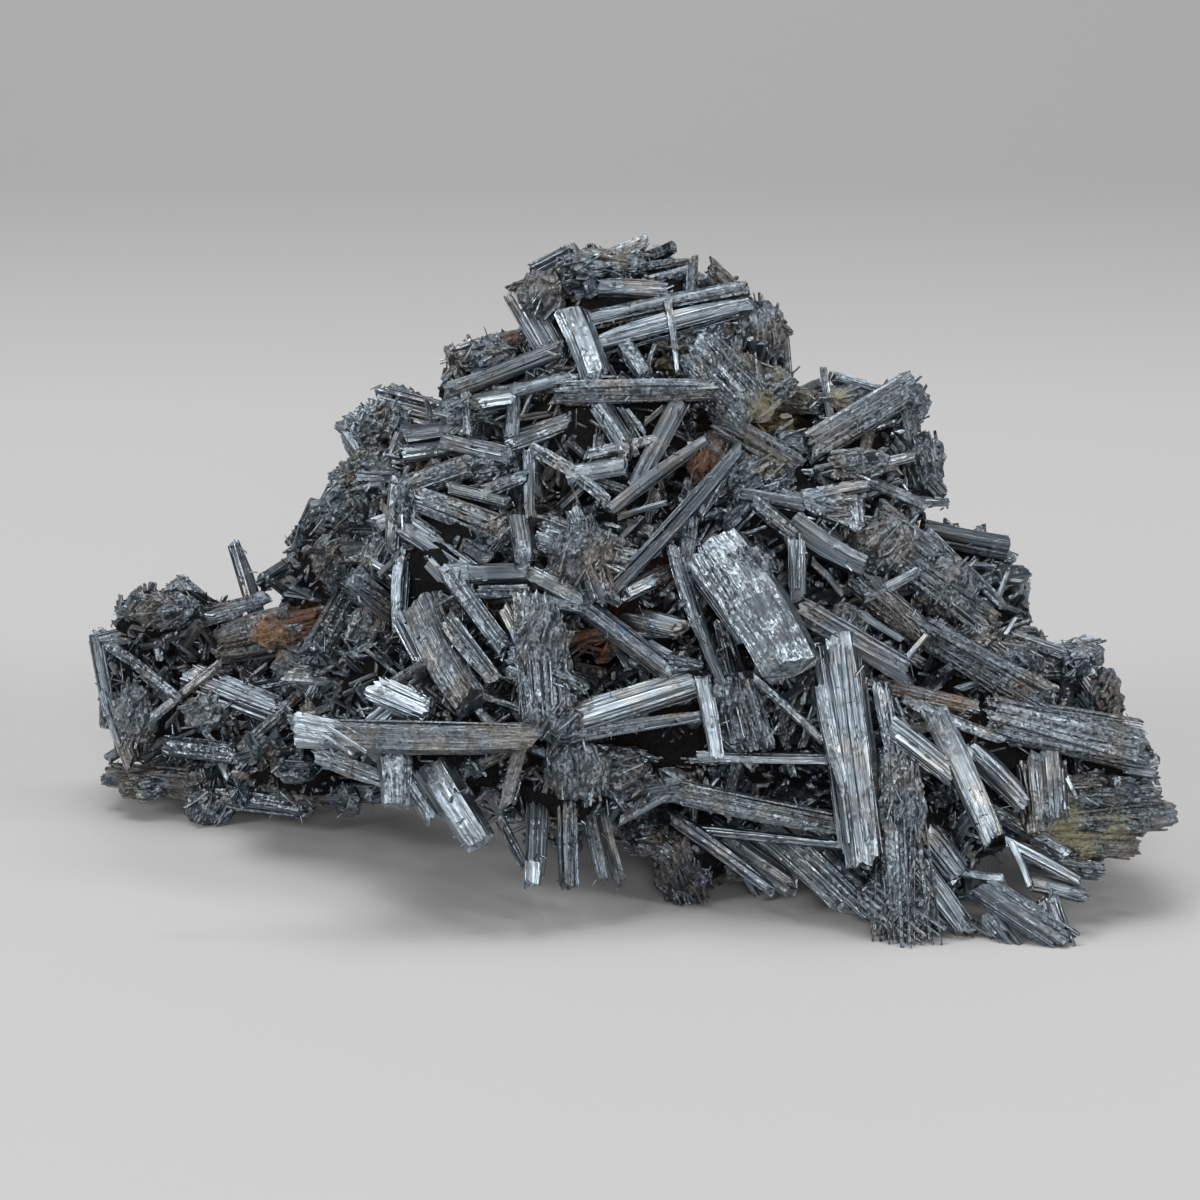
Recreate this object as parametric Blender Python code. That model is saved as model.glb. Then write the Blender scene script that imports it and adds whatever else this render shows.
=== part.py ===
"""Stibnite crystal spray: one loose piece of blades and prisms that grew together.

The piece is a single solid.  Slender striated prisms cross each other at every
angle and are fused to a lumpy inner mass, with a high knob in the middle, a
shoulder and a wedge on the right and a lower wing that runs back on the left.
It stands on its own crystal tips, whose ends lie in one level plane.

Places are sighted: `across` and `down` are millimetres measured on an upright
drawing plane that is tipped back by SIGHT_TILT, and `back` is how far behind
that plane the point lies.  Sight lines spread from an eye SIGHT_DISTANCE away.
"""
import math
import random

import bmesh
import bpy
from mathutils import Matrix, Vector, noise

MM = 0.001

# Driving dimensions (millimetres and degrees)
SIGHT_TILT = math.radians(15.0)      # how far the drawing plane leans back
SIGHT_DISTANCE = 400.0               # from the eye to the drawing plane
SIGHT_CENTRE = (60.0, 60.0)          # where the middle sight line meets the plane
SIGHT_HEIGHT = 33.6                  # that point's height over the table
ORIGIN_SHIFT = Vector((-0.77, -20.22, 0.0))   # brings the middle of the foot print to 0, 0
FLATNESS = 0.72                      # a crystal's thickness over its width
TAPER = 0.9                          # its far end's width over its near end's
END_SLANT = 0.45                     # rise of a slanted end face over its width
BROAD = 3.5                          # crystals this wide or wider have six sides, others four
BLOCK_SIDE = 200.0                   # block that levels the feet
BLOCK_DEPTH = 30.0

EYE_UP = Vector((0.0, math.sin(SIGHT_TILT), math.cos(SIGHT_TILT)))
EYE_AHEAD = Vector((0.0, math.cos(SIGHT_TILT), -math.sin(SIGHT_TILT)))

LUMP_FULLNESS = 1.07                 # makes up for the flats between a lump's corners

# Inner mass: centre (across, down, back), then half sizes across, deep and high
LUMPS = [
    (72.0, 70.0, 22.0, 26.0, 19.0, 13.5),
    (65.0, 57.0, 21.0, 21.0, 16.0, 13.0),
    (62.0, 43.0, 19.0, 16.0, 10.5, 9.5),
    (63.5, 31.5, 21.0, 11.0, 7.0, 6.2),
    (84.5, 48.5, 17.5, 8.5, 9.5, 8.0),
    (79.0, 52.0, 13.0, 7.5, 7.0, 7.0),
    (84.5, 43.5, 15.5, 5.5, 5.5, 4.0),
    (78.5, 42.5, 17.5, 5.5, 5.5, 4.5),
    (87.0, 61.0, 16.0, 7.5, 8.0, 6.5),
    (50.5, 67.5, 14.5, 6.5, 7.0, 6.0),
    (14.5, 68.0, 44.0, 5.0, 5.0, 6.0),
    (97.0, 74.5, 17.0, 15.0, 14.5, 11.0),
    (108.0, 78.0, 14.0, 8.0, 9.0, 7.0),
    (47.0, 57.0, 17.0, 9.0, 10.5, 12.0),
    (47.5, 74.5, 11.0, 11.0, 9.0, 6.0),
    (24.0, 70.5, 44.5, 13.5, 9.5, 8.5),
    (36.0, 58.0, 36.0, 9.0, 9.5, 10.5),
    (40.5, 44.5, 31.0, 5.5, 7.0, 6.0),
    (92.0, 85.0, 9.0, 6.0, 7.0, 8.0),
    (56.0, 78.0, 12.0, 9.0, 8.5, 5.5),
    (39.0, 68.0, 25.0, 10.0, 10.0, 9.0),
    (43.0, 50.0, 22.0, 7.0, 8.0, 8.0),
    (49.0, 38.0, 21.0, 5.5, 6.0, 5.0),
    (95.5, 60.5, 17.5, 7.5, 8.0, 7.5),
    (17.0, 62.0, 41.5, 7.0, 5.0, 4.0),
    (73.0, 37.0, 18.5, 6.0, 6.0, 5.0),
    (70.0, 84.0, 14.5, 5.0, 5.0, 5.0),
    (32.0, 76.0, 31.0, 9.0, 7.0, 4.5),
]

# Crystals: one end (across, down, back), the other end, then the width
KNOB = [
    (51.3, 29.6, 19.0, 57.5, 27.8, 17.5, 3.0),
    (52.0, 29.6, 18.0, 55.4, 35.4, 15.0, 3.2),
    (58.0, 26.6, 19.5, 59.2, 29.4, 14.5, 1.7),
    (56.8, 25.0, 22.0, 58.2, 30.0, 17.0, 2.4),
    (63.4, 26.2, 23.0, 67.3, 24.7, 19.0, 2.0),
    (62.2, 27.0, 18.5, 69.0, 26.2, 17.5, 1.1),
    (60.2, 28.8, 15.5, 66.4, 29.0, 15.5, 2.2),
    (69.2, 26.0, 17.0, 69.1, 29.8, 15.0, 1.5),
    (57.0, 31.2, 14.0, 59.5, 37.6, 10.5, 3.3),
    (57.6, 32.4, 15.0, 74.6, 28.9, 15.0, 2.2),
    (59.6, 34.7, 13.5, 74.9, 30.6, 14.0, 2.2),
    (62.5, 34.6, 13.0, 64.6, 37.6, 10.0, 2.2),
    (78.1, 32.6, 20.0, 78.6, 38.4, 18.0, 1.7),
    (45.9, 36.8, 26.0, 51.5, 35.8, 21.0, 2.4),
    (48.4, 34.4, 23.0, 52.5, 33.6, 19.0, 2.0),
    (59.0, 26.6, 21.0, 64.4, 24.2, 21.0, 1.8),
    (71.0, 26.6, 22.0, 75.6, 31.5, 19.0, 2.0),
    (74.0, 30.4, 22.0, 78.3, 33.2, 19.0, 2.2),
    (53.0, 27.2, 22.0, 57.2, 25.0, 20.0, 1.8),
]
BROW = [
    (44.6, 39.3, 15.0, 56.2, 34.8, 12.5, 2.3),
    (44.5, 41.2, 15.0, 49.0, 40.6, 12.0, 2.8),
    (47.6, 40.4, 12.5, 51.2, 39.8, 10.5, 2.1),
    (51.2, 43.2, 10.0, 51.5, 38.8, 11.5, 1.8),
    (51.4, 39.2, 11.0, 57.2, 37.7, 10.5, 1.6),
    (55.6, 39.4, 10.5, 72.5, 39.0, 9.0, 3.0),
    (69.8, 35.4, 12.0, 75.0, 40.6, 9.0, 6.0),
    (40.8, 43.4, 16.5, 45.6, 42.8, 13.0, 2.2),
    (40.6, 45.4, 16.0, 45.0, 44.8, 13.0, 2.0),
    (44.6, 44.2, 13.0, 50.7, 45.6, 10.0, 2.3),
    (51.2, 44.2, 12.5, 56.8, 42.2, 11.0, 2.6),
    (52.9, 45.2, 9.5, 53.0, 51.8, 7.5, 1.4),
    (53.0, 44.8, 9.5, 60.8, 50.2, 7.5, 1.7),
    (59.8, 40.4, 10.5, 63.0, 45.4, 8.0, 2.6),
    (67.9, 40.3, 9.5, 63.6, 48.6, 7.5, 2.3),
    (56.6, 47.5, 8.5, 62.6, 46.5, 7.5, 2.1),
    (60.8, 51.1, 6.5, 70.6, 43.9, 7.5, 1.4),
    (74.0, 44.8, 8.0, 60.0, 60.2, 4.5, 1.6),
    (75.0, 39.6, 16.0, 81.5, 40.4, 12.0, 2.8),
    (71.5, 42.0, 10.0, 79.5, 46.5, 8.5, 3.2),
]
LEFT_FACE = [
    (47.0, 46.6, 11.0, 39.8, 49.2, 13.0, 3.0),
    (39.9, 48.4, 13.0, 39.4, 55.0, 13.0, 2.2),
    (42.2, 50.0, 11.5, 50.0, 53.2, 8.0, 3.0),
    (40.8, 52.6, 11.5, 48.0, 57.4, 7.5, 3.0),
    (51.8, 51.9, 8.5, 52.4, 56.0, 6.5, 3.2),
    (40.4, 55.0, 13.0, 39.9, 62.5, 11.5, 2.0),
    (45.2, 57.4, 7.5, 52.8, 57.2, 6.0, 2.6),
    (52.6, 57.2, 6.5, 58.4, 60.2, 5.0, 2.0),
    (44.4, 56.4, 8.0, 50.5, 65.0, 4.5, 2.2),
    (42.3, 60.6, 9.0, 47.2, 70.3, 4.0, 5.0),
    (44.8, 62.0, 6.0, 49.4, 67.8, 3.5, 2.2),
    (40.2, 61.5, 11.0, 42.6, 66.4, 8.5, 2.8),
]
CENTRE_FACE = [
    (54.2, 53.4, 8.5, 63.0, 56.6, 6.0, 4.6),
    (57.5, 52.0, 8.0, 60.4, 60.2, 4.5, 4.2),
    (53.6, 60.2, 6.0, 54.8, 72.4, 1.8, 5.4),
    (51.2, 66.4, 4.5, 57.6, 69.6, 3.0, 4.0),
    (54.3, 57.6, 6.5, 67.2, 67.3, 4.0, 2.3),
    (61.0, 61.1, 9.5, 68.4, 62.9, 5.5, 2.8),
    (67.3, 54.5, 6.5, 70.6, 64.4, 3.5, 1.6),
    (69.8, 62.0, 4.0, 72.3, 68.4, 2.5, 1.4),
    (71.8, 54.8, 5.5, 79.4, 66.8, 0.8, 7.0),
    (56.5, 72.3, 3.0, 69.8, 68.1, 4.2, 3.4),
    (56.5, 73.9, 3.0, 70.0, 71.7, 3.5, 1.5),
    (70.2, 67.8, 3.0, 71.7, 75.7, 1.2, 1.8),
    (72.0, 65.4, 6.5, 74.2, 74.3, 1.5, 3.0),
    (74.4, 68.6, 3.5, 76.2, 74.4, 2.0, 3.2),
    (79.6, 60.6, 5.0, 90.8, 67.2, 3.2, 3.0),
    (86.0, 58.0, 7.5, 92.4, 63.5, 6.5, 3.4),
]
SHOULDER = [
    (83.4, 44.0, 12.0, 82.3, 36.8, 12.5, 1.0),
    (83.6, 37.7, 13.5, 88.9, 39.2, 12.0, 1.2),
    (81.0, 44.8, 10.5, 91.0, 38.6, 11.0, 4.0),
    (90.0, 38.2, 13.0, 91.3, 43.2, 11.5, 2.3),
    (89.4, 44.2, 14.0, 94.0, 49.4, 12.0, 2.3),
    (87.5, 49.9, 13.5, 94.8, 50.2, 12.0, 1.4),
    (80.3, 49.7, 8.0, 86.7, 48.4, 8.0, 1.5),
    (75.6, 48.0, 8.5, 84.7, 52.2, 7.0, 1.5),
    (75.5, 50.3, 7.0, 79.7, 53.7, 6.0, 2.0),
    (85.2, 49.8, 8.0, 85.6, 52.8, 6.5, 2.0),
    (79.2, 52.3, 7.0, 86.4, 56.7, 5.0, 3.0),
    (79.7, 53.6, 6.5, 79.8, 59.8, 4.5, 2.0),
    (92.0, 53.2, 13.0, 100.6, 54.9, 14.0, 2.8),
    (92.5, 53.0, 11.0, 96.4, 56.9, 10.5, 1.5),
    (96.0, 56.4, 10.5, 100.2, 60.5, 10.0, 1.4),
    (88.0, 51.5, 9.5, 93.4, 55.5, 9.5, 3.2),
    (90.0, 56.0, 9.0, 99.2, 62.6, 9.0, 3.6),
]
LOW_FACE = [
    (29.9, 73.2, 1.0, 53.2, 73.8, 1.4, 3.3),
    (31.7, 75.5, 3.0, 38.6, 78.0, 3.0, 2.0),
    (39.0, 69.2, 18.0, 42.0, 70.6, 2.4, 3.6),
    (39.4, 74.2, 2.4, 39.6, 80.6, 1.0, 4.0),
    (40.5, 78.0, 3.0, 43.2, 81.9, 2.5, 1.9),
    (43.0, 76.6, 4.5, 48.0, 84.3, 1.0, 4.2),
    (52.8, 72.0, 1.6, 50.6, 80.4, 0.4, 1.6),
    (53.8, 76.4, 8.0, 53.4, 88.2, 2.0, 2.4),
    (56.6, 79.5, 6.0, 56.8, 88.6, 4.0, 2.4),
    (58.4, 79.5, 8.0, 60.3, 87.8, 5.0, 1.6),
    (59.8, 79.5, 8.5, 62.1, 88.4, 6.0, 1.8),
    (60.0, 75.2, 9.0, 73.0, 75.7, 6.0, 1.8),
    (68.0, 79.2, 5.5, 84.6, 82.6, 3.5, 2.8),
    (68.5, 82.8, 11.0, 84.8, 84.5, 3.2, 1.4),
    (67.0, 81.5, 11.0, 77.2, 89.0, 6.5, 1.7),
    (64.2, 83.0, 11.0, 70.2, 88.0, 12.5, 3.4),
    (66.6, 82.6, 13.5, 70.0, 92.4, 14.0, 4.0),
    (83.6, 64.5, 3.5, 86.4, 85.5, 1.6, 5.0),
    (89.8, 75.5, 3.0, 90.7, 95.6, 1.9, 4.4),
    (88.0, 68.2, 3.5, 89.7, 76.5, 2.5, 2.0),
    (76.0, 82.5, 10.0, 84.6, 90.3, 6.0, 3.2),
    (80.0, 84.0, 8.0, 87.8, 91.4, 4.8, 3.4),
    (71.0, 83.0, 12.0, 79.2, 88.6, 9.5, 3.0),
]
RIGHT_LOW = [
    (85.8, 68.0, 4.6, 97.8, 70.7, 5.4, 1.6),
    (92.4, 63.0, 8.0, 104.8, 70.3, 6.0, 3.8),
    (101.0, 63.6, 11.5, 107.2, 65.7, 10.5, 1.8),
    (105.0, 65.4, 12.0, 109.4, 64.6, 11.5, 2.6),
    (107.6, 65.6, 12.0, 110.8, 70.6, 11.0, 2.6),
    (108.6, 69.6, 12.0, 112.0, 74.0, 10.0, 2.4),
    (99.0, 71.6, 5.0, 114.4, 75.0, 6.5, 4.6),
    (89.3, 72.8, 3.0, 94.6, 77.0, 2.5, 3.0),
    (93.4, 71.2, 3.5, 99.2, 83.8, 1.6, 3.0),
    (97.0, 75.0, 4.0, 102.3, 80.3, 3.0, 2.4),
    (104.0, 76.2, 6.0, 104.6, 82.4, 4.0, 5.5),
    (108.6, 76.2, 8.5, 115.4, 77.4, 8.5, 1.5),
    (106.0, 79.4, 7.5, 115.6, 79.9, 9.0, 2.8),
    (103.0, 82.0, 5.5, 116.7, 81.4, 9.0, 3.2),
    (103.4, 84.3, 5.5, 113.2, 84.3, 8.0, 3.0),
    (102.0, 85.8, 7.0, 110.0, 87.2, 5.5, 2.4),
    (98.6, 80.6, 6.0, 106.6, 85.6, 3.2, 1.6),
    (103.0, 88.2, 3.5, 108.6, 89.6, 3.0, 2.0),
    (98.0, 88.6, 3.0, 106.9, 94.6, 0.6, 3.6),
    (92.5, 83.2, 3.8, 95.8, 87.4, 2.8, 3.2),
    (91.4, 86.0, 3.2, 96.4, 92.8, 2.4, 2.8),
    (93.6, 90.6, 4.5, 99.0, 94.2, 3.0, 2.4),
    (86.6, 88.8, 3.6, 93.5, 94.0, 2.0, 4.6),
    (98.8, 91.6, 3.0, 102.6, 96.6, 0.6, 2.6),
    (104.6, 89.6, 2.6, 107.2, 96.4, 0.4, 2.6),
]
WING = [
    (37.6, 40.2, 30.0, 44.6, 42.0, 25.0, 4.2),
    (34.9, 42.2, 33.0, 39.8, 44.2, 29.0, 3.2),
    (35.6, 43.6, 32.0, 38.0, 48.0, 29.0, 3.6),
    (33.4, 48.4, 34.0, 38.6, 48.0, 28.5, 3.4),
    (31.5, 51.6, 35.0, 36.6, 49.6, 31.0, 2.2),
    (32.5, 53.0, 33.0, 39.5, 53.2, 25.0, 4.0),
    (26.2, 58.3, 39.0, 35.2, 52.4, 32.0, 2.2),
    (26.2, 63.8, 37.0, 23.4, 54.4, 39.5, 1.7),
    (14.4, 62.6, 43.0, 18.2, 58.5, 43.5, 2.6),
    (17.6, 58.2, 44.0, 22.6, 62.4, 41.0, 2.5),
    (9.8, 63.9, 42.5, 26.6, 59.6, 36.0, 1.9),
    (9.9, 64.0, 42.5, 11.2, 71.0, 41.5, 2.4),
    (11.2, 69.4, 41.5, 13.4, 76.2, 39.5, 2.8),
    (10.6, 64.3, 42.2, 17.9, 69.9, 35.5, 1.5),
    (12.6, 73.9, 39.0, 22.0, 66.4, 35.5, 1.4),
    (28.2, 69.4, 33.5, 36.6, 59.6, 26.5, 1.2),
    (24.1, 74.8, 34.5, 31.0, 68.4, 32.5, 1.3),
    (16.6, 74.6, 39.5, 23.2, 75.4, 34.0, 2.5),
    (11.0, 77.4, 43.0, 19.6, 78.8, 38.5, 3.0),
    (26.0, 76.4, 34.0, 40.0, 76.6, 22.0, 1.4),
    (27.4, 78.8, 33.5, 40.0, 79.4, 21.0, 2.4),
    (19.6, 79.5, 39.5, 30.8, 81.0, 33.5, 2.4),
    (19.4, 77.5, 39.5, 21.0, 84.4, 39.5, 2.8),
    (22.5, 64.4, 37.5, 33.5, 62.0, 31.0, 4.6),
    (19.0, 67.6, 38.0, 28.5, 71.4, 33.5, 3.6),
    (29.0, 66.0, 32.5, 38.5, 70.5, 24.0, 5.0),
    (33.0, 57.5, 31.5, 40.0, 61.0, 21.0, 4.4),
]
HIDDEN_FEET = [
    (62.0, 68.0, 38.0, 58.0, 82.6, 46.0, 4.6),
    (86.0, 70.0, 30.0, 89.0, 84.8, 36.0, 4.4),
    (30.0, 70.0, 46.0, 27.0, 82.0, 50.0, 3.6),
]

REGIONS = (KNOB, BROW, LEFT_FACE, CENTRE_FACE, SHOULDER, LOW_FACE, RIGHT_LOW, WING, HIDDEN_FEET)

# Crystals scattered over the back, the ends and the underside
SCATTER_COUNT = 66
SCATTER_SEED = 41
SCATTER_GAP = 6.6                    # nearest two of their seats may be
SCATTER_LENGTH = (0.9, 1.7)          # over the mean half size of the lump they sit on
SCATTER_WIDTH = (2.3, 5.0)
SCATTER_RIM = 1.12                   # how far past a lump's outline their ends may show in front
FACING_BACK = -0.3                   # a seat's outward direction along the sight line
SHAPE_SEED = 10


def sighted(across, down, back):
    """World point, in millimetres, of a place given on the drawing plane."""
    spread = 1.0 + back / SIGHT_DISTANCE
    sideways = (across - SIGHT_CENTRE[0]) * spread
    rise = (SIGHT_CENTRE[1] - down) * spread
    middle = Vector((0.0, 0.0, SIGHT_HEIGHT))
    return middle + Vector((sideways, 0.0, 0.0)) + EYE_UP * rise + EYE_AHEAD * back + ORIGIN_SHIFT


def remove_everything():
    for thing in list(bpy.data.objects):
        bpy.data.objects.remove(thing)


def new_object(name, mesh, collection, material=None):
    thing = bpy.data.objects.new(name, mesh)
    if material:
        mesh.materials.append(material)
    collection.objects.link(thing)
    return thing


def new_collection(name):
    collection = bpy.data.collections.new(name)
    bpy.context.scene.collection.children.link(collection)
    return collection


def mesh_from(bm, name):
    mesh = bpy.data.meshes.new(name)
    bm.to_mesh(mesh)
    bm.free()
    return mesh


def stibnite_material():
    material = bpy.data.materials.new("stibnite")
    material.use_nodes = True
    shader = material.node_tree.nodes["Principled BSDF"]
    shader.inputs["Base Color"].default_value = (0.21, 0.23, 0.26, 1.0)
    shader.inputs["Metallic"].default_value = 0.85
    shader.inputs["Roughness"].default_value = 0.38
    return material


def crystal_mesh(near, far, width, rng):
    """Flattened prism from near to far with slanted ends, broad face to the front."""
    axis = far - near
    length = axis.length
    direction = axis.normalized()
    flat_way = direction.cross(EYE_AHEAD)
    if flat_way.length < 0.2:
        flat_way = direction.cross(Vector((1.0, 0.0, 0.0)))
    flat_way.normalize()
    thin_way = direction.cross(flat_way)
    roll = Matrix.Rotation(rng.uniform(-0.5, 0.5), 3, direction)
    frame = Matrix((roll @ flat_way, roll @ thin_way, direction)).transposed().to_4x4()
    bm = bmesh.new()
    sides = 6 if width >= BROAD else 4
    spread = 1.0 if width >= BROAD else 1.2
    bmesh.ops.create_cone(bm, cap_ends=True, segments=sides, radius1=width * spread / 2.0,
                          radius2=width * spread * TAPER / 2.0, depth=length)
    slants = [rng.uniform(-END_SLANT, END_SLANT) for _ in range(2)]
    for vert in bm.verts:
        slant = slants[0] if vert.co.z < 0.0 else slants[1]
        vert.co.z += slant * vert.co.x
        vert.co.y *= FLATNESS
    placed = Matrix.Translation((near + far) / 2.0) @ frame
    bm.transform(Matrix.Scale(MM, 4) @ placed)
    return mesh_from(bm, "crystal")


def lump_mesh(row, rng):
    """Ellipsoid with a knobbly surface; row is a line of LUMPS."""
    bm = bmesh.new()
    half_sizes = Vector(row[3:6])
    bmesh.ops.create_icosphere(bm, subdivisions=1, radius=LUMP_FULLNESS)
    seed_shift = Vector((rng.uniform(0.0, 50.0), 0.0, 0.0))
    for vert in bm.verts:
        swell = 1.0 + 0.16 * noise.noise(vert.co * 2.2 + seed_shift)
        vert.co = Vector(a * b * swell for a, b in zip(vert.co, half_sizes))
    bm.transform(Matrix.Scale(MM, 4) @ Matrix.Translation(sighted(*row[:3])))
    return mesh_from(bm, "lump")


def inside(point, row):
    """Whether a world point lies in the ellipsoid of a line of LUMPS."""
    offset = point - sighted(*row[:3])
    return sum((a / b) ** 2 for a, b in zip(offset, row[3:6])) < 1.0


def behind_front(point):
    """Whether a world point stays within the outline that the lumps show in front."""
    for row in LUMPS:
        offset = point - sighted(*row[:3])
        level = offset.x / row[3]
        rise = offset.dot(EYE_UP) / row[5]
        if level * level + rise * rise < SCATTER_RIM ** 2:
            return True
    return False


def any_direction(rng):
    return Vector((rng.gauss(0, 1), rng.gauss(0, 1), rng.gauss(0, 1))).normalized()


def scattered_crystals():
    """Ends and widths of the crystals that lie across the sides the rows leave bare."""
    rng = random.Random(SCATTER_SEED)
    areas = [(row[3] * row[4] * row[5]) ** (2.0 / 3.0) for row in LUMPS]
    crystals = []
    seats = []
    for _ in range(60 * SCATTER_COUNT):
        row = rng.choices(LUMPS, areas)[0]
        outward = any_direction(rng)
        drift = any_direction(rng)
        mean_size = sum(row[3:6]) / 3.0
        length = mean_size * rng.uniform(*SCATTER_LENGTH)
        width = min(rng.uniform(*SCATTER_WIDTH), length / 2.6)
        direction = (drift - outward * (drift.dot(outward) - rng.uniform(0.0, 0.35))).normalized()
        seat = sighted(*row[:3]) + Vector(a * b * 0.93 for a, b in zip(outward, row[3:6]))
        near = seat - direction * length * 0.5
        far = seat + direction * length * 0.5
        if outward.dot(EYE_AHEAD) < FACING_BACK:
            continue
        if any(inside(seat, other) for other in LUMPS if other is not row):
            continue
        if any((seat - other).length < SCATTER_GAP for other in seats):
            continue
        if not (behind_front(near) and behind_front(far)):
            continue
        seats.append(seat)
        crystals.append((near, far, width))
        if len(crystals) == SCATTER_COUNT:
            break
    return crystals


def table_block_mesh():
    """Block whose top is the table; what it takes away leaves the feet level."""
    bm = bmesh.new()
    bmesh.ops.create_cube(bm, size=1.0)
    bm.transform(Matrix.Diagonal((BLOCK_SIDE, BLOCK_SIDE, BLOCK_DEPTH, 1.0)))
    bm.transform(Matrix.Translation((0.0, 0.0, -BLOCK_DEPTH / 2.0)))
    bm.transform(Matrix.Scale(MM, 4))
    return mesh_from(bm, "table block")


def boolean(thing, name, operation):
    modifier = thing.modifiers.new(name, "BOOLEAN")
    modifier.operation = operation
    modifier.solver = "EXACT"
    return modifier


def face_group(first):
    """The faces that can be reached from one face across shared edges."""
    found = {first}
    to_visit = [first]
    while to_visit:
        for edge in to_visit.pop().edges:
            for face in edge.link_faces:
                if face not in found:
                    found.add(face)
                    to_visit.append(face)
    return found


def keep_outer_body(mesh):
    """Fills the pockets that crossing crystals seal off, keeping only the outer skin."""
    bm = bmesh.new()
    bm.from_mesh(mesh)
    unsorted = set(bm.faces)
    groups = []
    while unsorted:
        group = face_group(next(iter(unsorted)))
        groups.append(group)
        unsorted -= group
    outer = max(groups, key=len)
    inner = [face for face in bm.faces if face not in outer]
    bmesh.ops.delete(bm, geom=inner, context="FACES")
    bm.to_mesh(mesh)
    bm.free()


def main():
    remove_everything()
    spray_parts = new_collection("stibnite_spray")
    growing = new_collection("pieces that grow together")
    cutters = new_collection("cutters")
    rng = random.Random(SHAPE_SEED)
    lumps = [new_object("lump", lump_mesh(row, rng), growing) for row in LUMPS]
    crystals = [(sighted(*row[:3]), sighted(*row[3:6]), row[6]) for region in REGIONS for row in region]
    for near, far, width in crystals + scattered_crystals():
        new_object("crystal", crystal_mesh(near, far, width, rng), growing)
    heart = lumps[0]
    growing.objects.unlink(heart)
    cutters.objects.link(heart)
    block = new_object("table block", table_block_mesh(), cutters)
    union = boolean(heart, "grown together", "UNION")
    union.operand_type = "COLLECTION"
    union.collection = growing
    boolean(heart, "level feet", "DIFFERENCE").object = block
    bpy.context.view_layer.update()
    evaluated = heart.evaluated_get(bpy.context.evaluated_depsgraph_get())
    body = bpy.data.meshes.new_from_object(evaluated)
    keep_outer_body(body)
    remove_everything()
    new_object("crystal_spray", body, spray_parts, stibnite_material())


main()
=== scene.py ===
"""The looks of the stibnite crystal spray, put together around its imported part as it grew.

Lengths are millimetres until a mesh is made.  Places on the front are sighted: across and
down on an upright drawing plane that leans back, and back for how far behind it they lie.
"""
import math
import random

import bmesh
import bpy
import numpy as np
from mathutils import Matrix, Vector, noise


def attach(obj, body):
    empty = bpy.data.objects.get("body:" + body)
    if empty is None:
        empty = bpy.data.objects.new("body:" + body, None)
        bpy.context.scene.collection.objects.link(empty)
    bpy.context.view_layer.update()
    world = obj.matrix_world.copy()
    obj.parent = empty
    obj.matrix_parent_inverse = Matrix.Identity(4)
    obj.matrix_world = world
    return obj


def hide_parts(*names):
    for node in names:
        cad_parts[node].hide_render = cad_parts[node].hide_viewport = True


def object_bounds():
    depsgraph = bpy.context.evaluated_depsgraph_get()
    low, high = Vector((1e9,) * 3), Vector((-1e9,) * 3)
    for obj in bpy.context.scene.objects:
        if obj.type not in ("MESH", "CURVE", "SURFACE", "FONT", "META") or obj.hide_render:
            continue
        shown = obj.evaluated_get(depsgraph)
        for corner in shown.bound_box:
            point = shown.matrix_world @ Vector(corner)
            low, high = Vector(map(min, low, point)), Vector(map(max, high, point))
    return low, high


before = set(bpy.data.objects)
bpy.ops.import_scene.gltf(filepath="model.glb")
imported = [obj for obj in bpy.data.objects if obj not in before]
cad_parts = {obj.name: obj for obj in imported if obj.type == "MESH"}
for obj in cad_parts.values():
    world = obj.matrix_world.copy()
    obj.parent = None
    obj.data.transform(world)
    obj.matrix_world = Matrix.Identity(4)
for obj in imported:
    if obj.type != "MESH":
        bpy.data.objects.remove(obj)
packed_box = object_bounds()
MM = 0.001                           # a millimetre in metres


# ---- Camera ------------------------------------------------------------------------------
# A long lens looks down a little on the spray from the front.  The crystals' places are
# given along the same sight lines, so the plane they are drawn on belongs here.
SIGHT_TILT = math.radians(15.0)
SIGHT_DISTANCE = 400.0
SIGHT_CENTRE = (60.0, 60.0)          # the across and down that the lens points at
SIGHT_SPAN = 120.0                   # the view's width on the drawing plane
SIGHT_MIDDLE = np.array((-0.77, -20.22, 33.6))
SENSOR_WIDTH = 36.0
NEAREST_SEEN = 10.0
SIDEWAYS = np.array((1.0, 0.0, 0.0))
EYE_UP = np.array((0.0, math.sin(SIGHT_TILT), math.cos(SIGHT_TILT)))
EYE_AHEAD = np.array((0.0, math.cos(SIGHT_TILT), -math.sin(SIGHT_TILT)))


def sighted(places):
    """World points of places given as (across, down, back)."""
    across, down, back = np.moveaxis(np.asarray(places, float), -1, 0)[..., None]
    spread = 1.0 + back / SIGHT_DISTANCE
    flat = SIDEWAYS * (across - SIGHT_CENTRE[0]) + EYE_UP * (SIGHT_CENTRE[1] - down)
    return SIGHT_MIDDLE + flat * spread + EYE_AHEAD * back


lens = bpy.data.cameras.new("studio camera")
lens.sensor_width = SENSOR_WIDTH
lens.lens = SENSOR_WIDTH * SIGHT_DISTANCE / SIGHT_SPAN
lens.clip_start = NEAREST_SEEN * MM
camera = bpy.data.objects.new("studio camera", lens)
camera.location = (SIGHT_MIDDLE - EYE_AHEAD * SIGHT_DISTANCE) * MM
camera.rotation_mode = "QUATERNION"
camera.rotation_quaternion = Vector(EYE_AHEAD).to_track_quat("-Z", "Y")
bpy.context.scene.collection.objects.link(camera)
bpy.context.scene.camera = camera


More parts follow.
